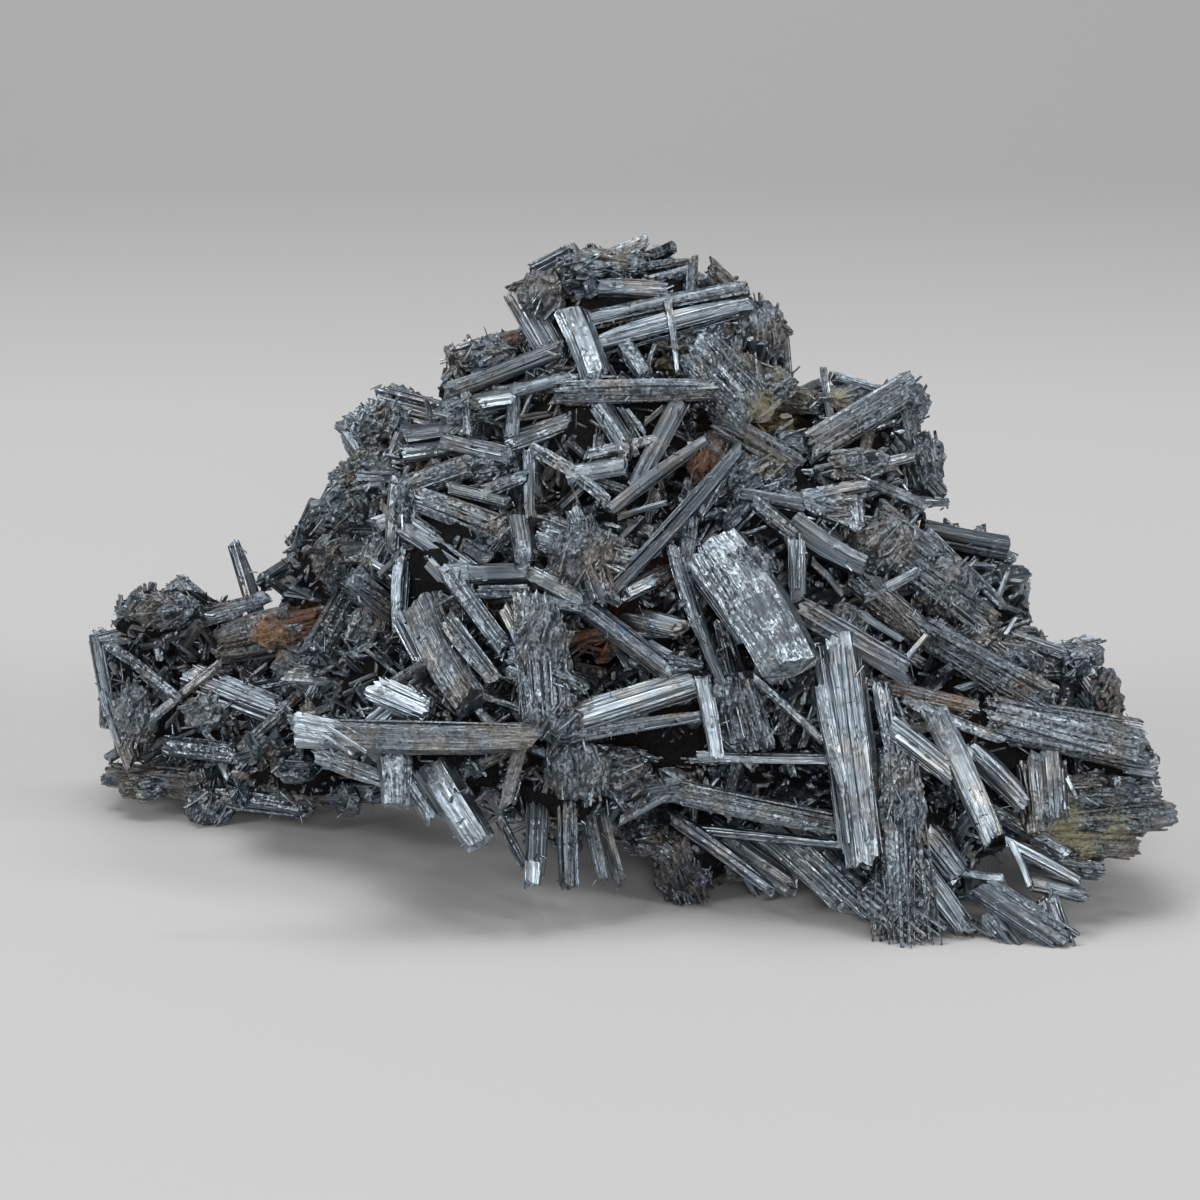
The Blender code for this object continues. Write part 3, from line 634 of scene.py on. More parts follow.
# ---- Left face ---------------------------------------------------------------------------
# Short prisms step down the left of the front, the broadest ones with sugary, pitted faces.
# They are the same stibnite, stacked at every angle and grown together where they cross.
LEFT_FACE = (
    (47.0, 46.6, 11.0, 39.8, 49.2, 13.0, 3.0, "sheaf", 0.40, 0.4),
    (39.9, 48.4, 13.0, 39.4, 55.0, 13.0, 2.2),
    (42.2, 50.0, 11.5, 50.0, 53.2, 8.0, 3.0, "rough", 0.42, 0.4),
    (40.8, 52.6, 11.5, 48.0, 57.4, 7.5, 3.0, "sheaf", 0.42, 0.3),
    (51.8, 51.9, 8.5, 52.4, 56.0, 6.5, 3.2, "block", 0.36, 0.1, 0.0),
    (40.4, 55.0, 13.0, 39.9, 62.5, 11.5, 2.0),
    (45.2, 57.4, 7.5, 52.8, 57.2, 6.0, 2.6, "block", 0.48, 0.1, 0.0),
    (52.6, 57.2, 6.5, 58.4, 60.2, 5.0, 2.0),
    (44.4, 56.4, 8.0, 50.5, 65.0, 4.5, 2.2),
    (42.3, 60.6, 9.0, 47.2, 70.3, 4.0, 5.0, "block", 0.36, 0.4, 0.35),
    (44.8, 62.0, 6.0, 49.4, 67.8, 3.5, 2.2),
    (40.2, 61.5, 11.0, 42.6, 66.4, 8.5, 2.8),
    (48.4, 49.2, 9.5, 52.6, 47.6, 8.5, 1.6),
    (44.8, 48.8, 10.5, 50.7, 50.2, 9.0, 1.5),
    (47.6, 59.2, 6.5, 52.6, 59.0, 5.5, 1.6),
    (39.3, 68.2, 9.5, 43.6, 65.6, 7.0, 1.3),
    (42.5, 61.3, 7.5, 45.3, 59.6, 5.8, 0.4),
    (52.3, 59.7, 5.6, 58.2, 60.9, 5.0, 1.2),
)
region("left_face", 13, LEFT_FACE)

# ---- Middle of the front -----------------------------------------------------------------
# The biggest block stands here with its clean end down, among slender bright columns.  It is
# one solid crystal of stibnite, and the columns beside it are bundles of fine ones.
CENTRE_FACE = (
    (54.2, 53.4, 8.5, 63.0, 56.6, 6.0, 4.6, "rough"),
    (57.5, 52.0, 8.0, 60.4, 60.2, 4.5, 4.2, "rough"),
    (53.6, 60.2, 6.0, 54.8, 72.4, 1.8, 5.4, "rough"),
    (51.2, 66.4, 4.5, 57.6, 69.6, 3.0, 4.0, "rough"),
    (54.3, 57.6, 6.5, 67.2, 67.3, 4.0, 2.3, "sheaf", 0.40, 0.1),
    (61.0, 61.1, 9.5, 68.4, 62.9, 5.5, 2.8, "sheaf", 0.36, 0.3),
    (67.3, 54.5, 6.5, 70.6, 64.4, 3.5, 1.6, "sheaf", 0.60, 0.0),
    (69.8, 62.0, 4.0, 72.3, 68.4, 2.5, 1.4),
    (71.8, 54.8, 5.5, 79.4, 66.8, 0.8, 7.0, "block", 0.63, 0.0, 0.34),
    (56.5, 72.3, 3.0, 69.8, 68.1, 4.2, 3.4, "sheaf", 0.50, 0.1),
    (56.5, 73.9, 3.0, 70.0, 71.7, 3.5, 1.5),
    (70.2, 67.8, 3.0, 71.7, 75.7, 1.2, 1.8, "sheaf", 0.66, 0.0),
    (72.0, 65.4, 6.5, 74.2, 74.3, 1.5, 3.0),
    (74.4, 68.6, 3.5, 76.2, 74.4, 2.0, 3.2, "rough", 0.46, 0.3),
    (79.6, 60.6, 5.0, 90.8, 67.2, 3.2, 3.0, "sheaf", 0.44, 0.3),
    (86.0, 58.0, 7.5, 92.4, 63.5, 6.5, 3.4, "rough", 0.34, 0.4),
    (50.4, 60.8, 6.0, 52.2, 64.4, 4.0, 1.8),
    (69.5, 57.5, 6.0, 74.3, 64.2, 4.5, 1.3),
    (75.4, 67.8, 2.5, 82.4, 74.2, 2.0, 1.1),
    (60.2, 62.3, 7.0, 62.9, 67.0, 5.0, 0.9),
    (66.8, 66.0, 3.8, 70.2, 66.6, 3.2, 1.2),
    (81.2, 56.2, 6.0, 84.2, 59.4, 4.8, 0.7),
    (90.7, 65.7, 3.4, 92.6, 63.5, 3.4, 0.6),
    (86.2, 61.4, 4.0, 90.2, 64.0, 3.4, 0.9),
)
region("centre_face", 14, CENTRE_FACE)

# ---- Right shoulder ----------------------------------------------------------------------
# A broad blade and a tangle of short laths make the shoulder right of the knob.  Granular
# stibnite fills the gaps between them and holds them, dulled by dust and iron stain.
SHOULDER = (
    (83.4, 44.0, 12.0, 82.3, 36.8, 12.5, 1.0),
    (83.6, 37.7, 13.5, 88.9, 39.2, 12.0, 1.2),
    (81.0, 44.8, 10.5, 91.0, 38.6, 11.0, 4.0, "blade", 0.52, 0.4, 0.6),
    (90.0, 38.2, 13.0, 91.3, 43.2, 11.5, 2.3, "rough", 0.30, 0.6),
    (89.4, 44.2, 14.0, 94.0, 49.4, 12.0, 2.3, "sheaf", 0.26, 0.2),
    (87.5, 49.9, 13.5, 94.8, 50.2, 12.0, 1.4),
    (80.3, 49.7, 8.0, 86.7, 48.4, 8.0, 1.5),
    (75.6, 48.0, 8.5, 84.7, 52.2, 7.0, 1.5),
    (75.5, 50.3, 7.0, 79.7, 53.7, 6.0, 2.0),
    (85.2, 49.8, 8.0, 85.6, 52.8, 6.5, 2.0, "block", 0.72, 0.0),
    (79.2, 52.3, 7.0, 86.4, 56.7, 5.0, 3.0, "block", 0.50, 0.2, 0.0),
    (79.7, 53.6, 6.5, 79.8, 59.8, 4.5, 2.0),
    (92.0, 53.2, 13.0, 100.6, 54.9, 14.0, 2.8, "block", 0.14, 0.0, 0.0),
    (92.5, 53.0, 11.0, 96.4, 56.9, 10.5, 1.5),
    (96.0, 56.4, 10.5, 100.2, 60.5, 10.0, 1.4),
    (88.0, 51.5, 9.5, 93.4, 55.5, 9.5, 3.2, "rough", 0.34, 0.4),
    (90.0, 56.0, 9.0, 99.2, 62.6, 9.0, 3.6, "rough", 0.34, 0.4),
    (85.2, 46.9, 9.0, 91.4, 45.6, 10.0, 1.3),
    (86.3, 47.8, 9.0, 92.6, 50.6, 10.0, 1.3),
    (74.0, 49.4, 7.5, 80.2, 50.6, 6.5, 1.5),
    (86.4, 59.9, 6.0, 91.8, 57.1, 7.5, 1.1),
    (96.6, 56.6, 12.0, 99.4, 56.8, 12.0, 1.0),
    (99.8, 60.2, 10.0, 100.8, 57.2, 10.0, 0.7),
    (100.5, 63.4, 10.5, 101.5, 61.8, 10.5, 0.6),
)
region("right_shoulder", 15, SHOULDER)

# ---- Low front and feet ------------------------------------------------------------------
# One long log of weathered stibnite runs across the front, ending in a break that its tone paints
# pale.
# Under it prongs and columns come down from the mass, and a few of them reach the table.
LOW_FACE = (
    (29.9, 73.2, 1.0, 53.2, 73.8, 1.4, 3.3, "sheaf", 0.26, 0.34, 0.5),
    (31.7, 75.5, 3.0, 38.6, 78.0, 3.0, 2.0),
    (39.0, 69.2, 18.0, 42.0, 70.6, 2.4, 3.6, "sheaf", 0.62, 0.0),
    (39.4, 74.2, 2.4, 39.6, 80.6, 1.0, 4.0, "block", 0.50, 0.1),
    (40.5, 78.0, 3.0, 43.2, 81.9, 2.5, 1.9),
    (43.0, 76.6, 4.5, 48.0, 84.3, 1.0, 4.2, "block", 0.56, 0.1),
    (52.8, 72.0, 1.6, 50.6, 80.4, 0.4, 1.6, "blade", 0.44, 0.6),
    (53.8, 76.4, 8.0, 53.4, 88.2, 2.0, 2.4, "sheaf", 0.46, 0.1),
    (56.6, 79.5, 6.0, 56.8, 88.6, 4.0, 2.4, "sheaf", 0.26, 0.3, 0.5),
    (58.4, 79.5, 8.0, 60.3, 87.8, 5.0, 1.6, "sheaf", 0.24, 0.4),
    (59.8, 79.5, 8.5, 62.1, 88.4, 6.0, 1.8, "sheaf", 0.22, 0.5),
    (60.0, 75.2, 9.0, 73.0, 75.7, 6.0, 1.8, "sheaf", 0.75, 0.0),
    (68.0, 79.2, 5.5, 84.6, 82.6, 3.5, 2.8, "sheaf", 0.40, 0.1),
    (68.5, 82.8, 11.0, 84.8, 84.5, 3.2, 1.4),
    (67.0, 81.5, 11.0, 77.2, 89.0, 6.5, 1.7),
    (64.2, 83.0, 11.0, 70.2, 88.0, 12.5, 3.4),
    (66.6, 82.6, 13.5, 70.0, 92.4, 14.0, 4.0, "rough"),
    (83.6, 64.5, 3.5, 86.4, 85.5, 1.6, 5.0, "sheaf", 0.50, 0.2),
    (89.8, 75.5, 3.0, 90.7, 95.6, 1.9, 4.4, "rough"),
    (88.0, 68.2, 3.5, 89.7, 76.5, 2.5, 2.0),
    (76.0, 82.5, 10.0, 84.6, 90.3, 6.0, 3.2),
    (80.0, 84.0, 8.0, 87.8, 91.4, 4.8, 3.4),
    (71.0, 83.0, 12.0, 79.2, 88.6, 9.5, 3.0),
    (82.1, 68.6, 2.2, 84.6, 79.0, 1.0, 1.7),
    (70.0, 75.6, 4.5, 84.0, 75.9, 4.0, 1.2, "sheaf", 0.7, 0.0),
    (48.3, 69.6, 4.0, 53.8, 71.4, 2.8, 0.7),
    (50.0, 82.0, 4.0, 52.3, 86.4, 3.0, 1.3),
    (29.6, 72.9, 0.6, 33.4, 73.4, 0.6, 3.5, "plain", 0.72, 0.3),
    (32.5, 72.5, -0.5, 36.6, 75.2, -0.3, 0.5, "plain", 0.72, 0.0),
    (33.5, 72.0, -0.5, 37.4, 74.4, -0.3, 0.4, "plain", 0.66, 0.0),
    (32.3, 73.4, -0.5, 35.2, 75.4, -0.3, 0.5, "plain", 0.60, 0.0),
    (53.4, 86.3, 1.6, 53.3, 88.3, 1.4, 2.1, "plain", 0.8, 0.0, 0.2),
    (37.8, 69.0, 4.4, 42.4, 71.0, 1.8, 3.2, "sheaf", 0.72, 0.0, 0.0),
)
region("low_front", 16, LOW_FACE)

# ---- Right end ---------------------------------------------------------------------------
# Broad rough blades and a wedge end the spray on the right, over a row of low feet.  Their
# stibnite has crumbled to dull grains, with ochre powder in the wedge's hollows.
RIGHT_LOW = (
    (85.8, 68.0, 4.6, 97.8, 70.7, 5.4, 1.6),
    (92.4, 63.0, 8.0, 104.8, 70.3, 6.0, 3.8, "rough"),
    (101.0, 63.6, 11.5, 107.2, 65.7, 10.5, 1.8),
    (105.0, 65.4, 12.0, 109.4, 64.6, 11.5, 2.6),
    (107.6, 65.6, 12.0, 110.8, 70.6, 11.0, 2.6),
    (108.6, 69.6, 12.0, 112.0, 74.0, 10.0, 2.4),
    (99.0, 71.6, 5.0, 114.4, 75.0, 6.5, 4.6, "rough", 0.48, 0.3),
    (89.3, 72.8, 3.0, 94.6, 77.0, 2.5, 3.0),
    (93.4, 71.2, 3.5, 99.2, 83.8, 1.6, 3.0, "blade", 0.44, 0.35),
    (97.0, 75.0, 4.0, 102.3, 80.3, 3.0, 2.4),
    (104.0, 76.2, 6.0, 104.6, 82.4, 4.0, 5.5, "sheaf", 0.34, 0.3),
    (108.6, 76.2, 8.5, 115.4, 77.4, 8.5, 1.5, "sheaf", 0.15, 0.2),
    (106.0, 79.4, 7.5, 115.6, 79.9, 9.0, 2.8, "rough", 0.46, 0.5),
    (103.0, 82.0, 5.5, 116.7, 81.4, 9.0, 3.2, "rough", 0.40, 0.6),
    (103.4, 84.3, 5.5, 113.2, 84.3, 8.0, 3.0, "rough", 0.30, 0.6),
    (102.0, 85.8, 7.0, 110.0, 87.2, 5.5, 2.4),
    (98.6, 80.6, 6.0, 106.6, 85.6, 3.2, 1.6),
    (103.0, 88.2, 3.5, 108.6, 89.6, 3.0, 2.0),
    (98.0, 88.6, 3.0, 106.9, 94.6, 0.6, 3.6, "sheaf", 0.30, 0.1),
    (92.5, 83.2, 3.8, 95.8, 87.4, 2.8, 3.2),
    (91.4, 86.0, 3.2, 96.4, 92.8, 2.4, 2.8),
    (93.6, 90.6, 4.5, 99.0, 94.2, 3.0, 2.4),
    (86.6, 88.8, 3.6, 93.5, 94.0, 2.0, 4.6, "rough"),
    (98.8, 91.6, 3.0, 102.6, 96.6, 0.6, 2.6),
    (104.6, 89.6, 2.6, 107.2, 96.4, 0.4, 2.6),
    (90.3, 69.8, 4.0, 100.4, 74.0, 4.0, 1.2),
    (100.6, 84.2, 3.2, 108.0, 88.2, 2.8, 1.4),
    (101.1, 84.3, 2.8, 102.9, 88.7, 2.4, 0.9),
    (96.3, 87.3, 2.8, 100.4, 87.9, 2.4, 0.9),
    (106.7, 77.8, 3.2, 107.7, 79.8, 2.8, 0.6),
)
region("right_end", 17, RIGHT_LOW)

# ---- Left wing ---------------------------------------------------------------------------
# A lower wing trails away behind on the left, of short thick prisms and a few long thin ones.
# They grew out of the same mass, and iron-rich water has left rust in the wing's hollow.
WING = (
    (37.6, 40.2, 30.0, 44.6, 42.0, 25.0, 4.2),
    (34.9, 42.2, 33.0, 39.8, 44.2, 29.0, 3.2),
    (35.6, 43.6, 32.0, 38.0, 48.0, 29.0, 3.6),
    (33.4, 48.4, 34.0, 38.6, 48.0, 28.5, 3.4),
    (31.5, 51.6, 35.0, 36.6, 49.6, 31.0, 2.2),
    (32.5, 53.0, 33.0, 39.5, 53.2, 25.0, 4.0),
    (26.2, 58.3, 39.0, 35.2, 52.4, 32.0, 2.2, "sheaf", 0.36, 0.2),
    (26.2, 63.8, 37.0, 23.4, 54.4, 39.5, 1.7),
    (14.4, 62.6, 43.0, 18.2, 58.5, 43.5, 2.6),
    (17.6, 58.2, 44.0, 22.6, 62.4, 41.0, 2.5),
    (9.8, 63.9, 42.5, 26.6, 59.6, 36.0, 1.9, "sheaf", 0.34, 0.4),
    (9.9, 64.0, 42.5, 11.2, 71.0, 41.5, 2.4),
    (11.2, 69.4, 41.5, 13.4, 76.2, 39.5, 2.8),
    (10.6, 64.3, 42.2, 17.9, 69.9, 35.5, 1.5),
    (12.6, 73.9, 39.0, 22.0, 66.4, 35.5, 1.4),
    (28.2, 69.4, 33.5, 36.6, 59.6, 26.5, 1.2),
    (24.1, 74.8, 34.5, 31.0, 68.4, 32.5, 1.3),
    (16.6, 74.6, 39.5, 23.2, 75.4, 34.0, 2.5, "sheaf", 0.62, 0.0),
    (11.0, 77.4, 43.0, 19.6, 78.8, 38.5, 3.0, "rough", 0.26, 0.7),
    (26.0, 76.4, 34.0, 40.0, 76.6, 22.0, 1.4),
    (27.4, 78.8, 33.5, 40.0, 79.4, 21.0, 2.4),
    (19.6, 79.5, 39.5, 30.8, 81.0, 33.5, 2.4),
    (19.4, 77.5, 39.5, 21.0, 84.4, 39.5, 2.8),
    (22.5, 64.4, 37.5, 33.5, 62.0, 31.0, 4.6, "rough", 0.26, 0.7),
    (19.0, 67.6, 38.0, 28.5, 71.4, 33.5, 3.6),
    (29.0, 66.0, 32.5, 38.5, 70.5, 24.0, 5.0, "rough", 0.24, 0.5),
    (33.0, 57.5, 31.5, 40.0, 61.0, 21.0, 4.4, "rough", 0.24, 0.4),
)
region("left_wing", 18, WING)

# ---- Back feet and the crystals that lie over the back -----------------------------------
# Three thick feet of stibnite carry the back.  Prisms lie flat over the back, the ends and
# the underside, each grown half into one of the swollen lumps that the inner mass is made of.
HIDDEN_FEET = (
    (62.0, 68.0, 38.0, 58.0, 82.6, 46.0, 4.6),
    (86.0, 70.0, 30.0, 89.0, 84.8, 36.0, 4.4),
    (30.0, 70.0, 46.0, 27.0, 82.0, 50.0, 3.6),
)
# Lumps of the inner mass: centre (across, down, back), then half sizes across, deep and high
LUMPS = (
    (72.0, 70.0, 22.0, 26.0, 19.0, 13.5),
    (65.0, 57.0, 21.0, 21.0, 16.0, 13.0),
    (62.0, 43.0, 19.0, 16.0, 10.5, 9.5),
    (63.5, 31.5, 21.0, 11.0, 7.0, 6.2),
    (84.5, 48.5, 17.5, 8.5, 9.5, 8.0),
    (79.0, 52.0, 13.0, 7.5, 7.0, 7.0),
    (84.5, 43.5, 15.5, 5.5, 5.5, 4.0),
    (78.5, 42.5, 17.5, 5.5, 5.5, 4.5),
    (87.0, 61.0, 16.0, 7.5, 8.0, 6.5),
    (50.5, 67.5, 14.5, 6.5, 7.0, 6.0),
    (14.5, 68.0, 44.0, 5.0, 5.0, 6.0),
    (97.0, 74.5, 17.0, 15.0, 14.5, 11.0),
    (108.0, 78.0, 14.0, 8.0, 9.0, 7.0),
    (47.0, 57.0, 17.0, 9.0, 10.5, 12.0),
    (47.5, 74.5, 11.0, 11.0, 9.0, 6.0),
    (24.0, 70.5, 44.5, 13.5, 9.5, 8.5),
    (36.0, 58.0, 36.0, 9.0, 9.5, 10.5),
    (40.5, 44.5, 31.0, 5.5, 7.0, 6.0),
    (92.0, 85.0, 9.0, 6.0, 7.0, 8.0),
    (56.0, 78.0, 12.0, 9.0, 8.5, 5.5),
    (39.0, 68.0, 25.0, 10.0, 10.0, 9.0),
    (43.0, 50.0, 22.0, 7.0, 8.0, 8.0),
    (49.0, 38.0, 21.0, 5.5, 6.0, 5.0),
    (95.5, 60.5, 17.5, 7.5, 8.0, 7.5),
    (17.0, 62.0, 41.5, 7.0, 5.0, 4.0),
    (73.0, 37.0, 18.5, 6.0, 6.0, 5.0),
    (70.0, 84.0, 14.5, 5.0, 5.0, 5.0),
    (32.0, 76.0, 31.0, 9.0, 7.0, 4.5),
)
SCATTER_COUNT = 66
SCATTER_SEED = 41
SCATTER_TRIES = 60                   # for each crystal wanted
SCATTER_GAP = 6.6
SCATTER_LENGTH = (0.9, 1.7)          # of the lump's mean half size
SCATTER_WIDTH = (2.3, 5.0)
SCATTER_SLENDERNESS = 2.6            # least length over width
SCATTER_RISE = 0.35                  # most that one lifts off its lump
SCATTER_DEPTH = 0.93                 # share of the lump's size at which one lies
SCATTER_RIM = 1.12
FACING_BACK = -0.3
lump_centres = sighted(np.array(LUMPS)[:, :3])
lump_sizes = np.array(LUMPS)[:, 3:]


def in_other_lumps(point, own):
    """Whether a point lies in any lump but its own."""
    inside = (((point - lump_centres) / lump_sizes) ** 2).sum(-1) < 1.0
    inside[own] = False
    return inside.any()


def behind_front(point):
    """Whether a point stays within the outline that the lumps show in front."""
    offset = point - lump_centres
    level = offset[:, 0] / lump_sizes[:, 0]
    rise = offset @ EYE_UP / lump_sizes[:, 2]
    return (level ** 2 + rise ** 2 < SCATTER_RIM ** 2).any()


def any_direction(rng):
    """A direction with none favoured."""
    return unit(np.array((rng.gauss(0, 1), rng.gauss(0, 1), rng.gauss(0, 1))))


def scattered_crystals():
    """Ends and widths of the crystals that lie across the sides the lists leave bare."""
    rng = random.Random(SCATTER_SEED)
    areas = [(row[3] * row[4] * row[5]) ** (2.0 / 3.0) for row in LUMPS]
    crystals = []
    seats = []
    for _ in range(SCATTER_TRIES * SCATTER_COUNT):
        row = rng.choices(range(len(LUMPS)), areas)[0]
        outward = any_direction(rng)
        drift = any_direction(rng)
        mean_size = sum(LUMPS[row][3:6]) / 3.0
        length = mean_size * rng.uniform(*SCATTER_LENGTH)
        width = min(rng.uniform(*SCATTER_WIDTH), length / SCATTER_SLENDERNESS)
        direction = unit(drift - outward * (drift @ outward - rng.uniform(0.0, SCATTER_RISE)))
        seat = lump_centres[row] + outward * lump_sizes[row] * SCATTER_DEPTH
        near, far = seat - direction * length * 0.5, seat + direction * length * 0.5
        if outward @ EYE_AHEAD < FACING_BACK or in_other_lumps(seat, row):
            continue
        if any(np.linalg.norm(seat - other) < SCATTER_GAP for other in seats):
            continue
        if not (behind_front(near) and behind_front(far)):
            continue
        seats.append(seat)
        crystals.append((near, far, width))
        if len(crystals) == SCATTER_COUNT:
            break
    return crystals


back = Growth("back_and_feet", 19)
crystals_from(back, HIDDEN_FEET)
scattered = scattered_crystals()
for near, far, width in scattered:
    wear = back.some_wear(1, (0.3, 0.0, 0.0), (0.6, 0.4, 0.6))[0]
    grow_one(back, near, far, width, "lean", wear)
back.piece()

# ---- Inner mass --------------------------------------------------------------------------
# Where crystals crowd out of one another the stibnite is a pitted mass with brown crust
# and rust in its hollows.  It holds every crystal, and shows only in the gaps between them, where its
# near-black colour is painted shade.
FINE_LUMP = 12.0                     # lumps of a mean half size above this get a finer surface
LUMP_SHARE = 0.86                    # of its full size that a lump's surface lies at
LUMP_SPACING = 9.0                   # shift of the noise from one lump to the next
LUMP_FLOOR = 0.3


def crumbled(way, sizes, number):
    """How far a lump swells one way: a slow swell, then ridges and small lumps on it."""
    place = Vector(way * Vector(sizes)) + Vector((number * LUMP_SPACING, 0.0, 0.0))
    swell = LUMP_SHARE + 0.07 * noise.noise(way * 2.2)
    ridges = abs(noise.noise(place * 0.45)) * 1.6 + 0.5 * noise.noise(place * 1.5) - 0.5
    return swell + ridges / sizes.mean()


inner = bmesh.new()
for number, (centre, sizes) in enumerate(zip(lump_centres, lump_sizes)):
    ball = bmesh.new()
    steps = 4 if sizes.mean() > FINE_LUMP else 3
    bmesh.ops.create_icosphere(ball, subdivisions=steps, radius=1.0)
    for vert in ball.verts:
        way = vert.co.copy()
        swell = crumbled(way, sizes, number)
        vert.co = Vector(centre) + Vector(a * b * swell for a, b in zip(way, sizes))
        vert.co.z = max(vert.co.z, LUMP_FLOOR)
        vert.co *= MM
    lump = bpy.data.meshes.new("lump")
    ball.to_mesh(lump)
    ball.free()
    inner.from_mesh(lump)
    bpy.data.meshes.remove(lump)
inner_mesh = bpy.data.meshes.new("inner_mass")
inner.to_mesh(inner_mesh)
inner.free()

# Near-black greys of the mass: painted shade for the gaps between the crystals
GAP_SHADE_BLACK = (0.008, 0.0075, 0.007, 1.0)
GAP_SHADE_GREY = (0.020, 0.020, 0.021, 1.0)
MASS_PATCHES = 260.0                 # to the metre
MASS_CRUMBS = 1500.0
PIT_DEPTH = 1.0


def mass_in_painted_shade():
    """Finish of the pitted mass between the crystals: near-black painted shade, with brown crust, rust
    and ochre where stains reach.
    """
    material = bpy.data.materials.new("crumbly stibnite in painted shade")
    material.use_nodes = True
    tree = material.node_tree
    shader = tree.nodes["Principled BSDF"]
    start = Thread(tree)
    place = start.node("TexCoord", give=3)
    stain = start.node("Attribute", {"attribute_name": "stain"}, give=1)
    rust, ochre = stain.part(0), stain.part(1)
    patches = place.speckle(MASS_PATCHES, 4.0, 0.6)
    crumbs = place.speckle(MASS_CRUMBS, 4.0, 0.7)
    colour = crumbs.coloured((GAP_SHADE_BLACK, GAP_SHADE_GREY), (0.35, 0.75))
    browned = (rust * 1.2 + patches * 1.1 - 0.85).ramped(0.0, 0.4) * crumbs.ramped(0.4, 0.6)
    colour = colour.tinted(BROWN_CRUST, browned)
    rusted = (rust + patches * 1.0 + crumbs * 1.6 - 2.25).ramped(0.0, 0.25)
    colour = colour.tinted(RUST, rusted * 0.6)
    colour = colour.tinted(OCHRE, (ochre + crumbs * 0.6 - 0.7).ramped(0.0, 0.3))
    roughness = (0.85 - crumbs.ramped(0.5, 0.8) * 0.4).held()
    metallic = crumbs.ramped(0.5, 0.7) * 0.7
    bump = crumbs.node("Bump", Strength=1.0, Distance=PIT_DEPTH * MM, Height=crumbs)
    tree.links.new(colour.end, shader.inputs["Base Color"])
    tree.links.new(roughness.end, shader.inputs["Roughness"])
    tree.links.new(metallic.end, shader.inputs["Metallic"])
    tree.links.new(bump.end, shader.inputs["Normal"])
    shader.inputs["Specular IOR Level"].default_value = 0.05
    return material


points = np.empty(len(inner_mesh.vertices) * 3)
inner_mesh.vertices.foreach_get("co", points)
noted(inner_mesh, "stain", stains_at(points.reshape(-1, 3) / MM))
set_on_part("inner_mass", inner_mesh, mass_in_painted_shade())
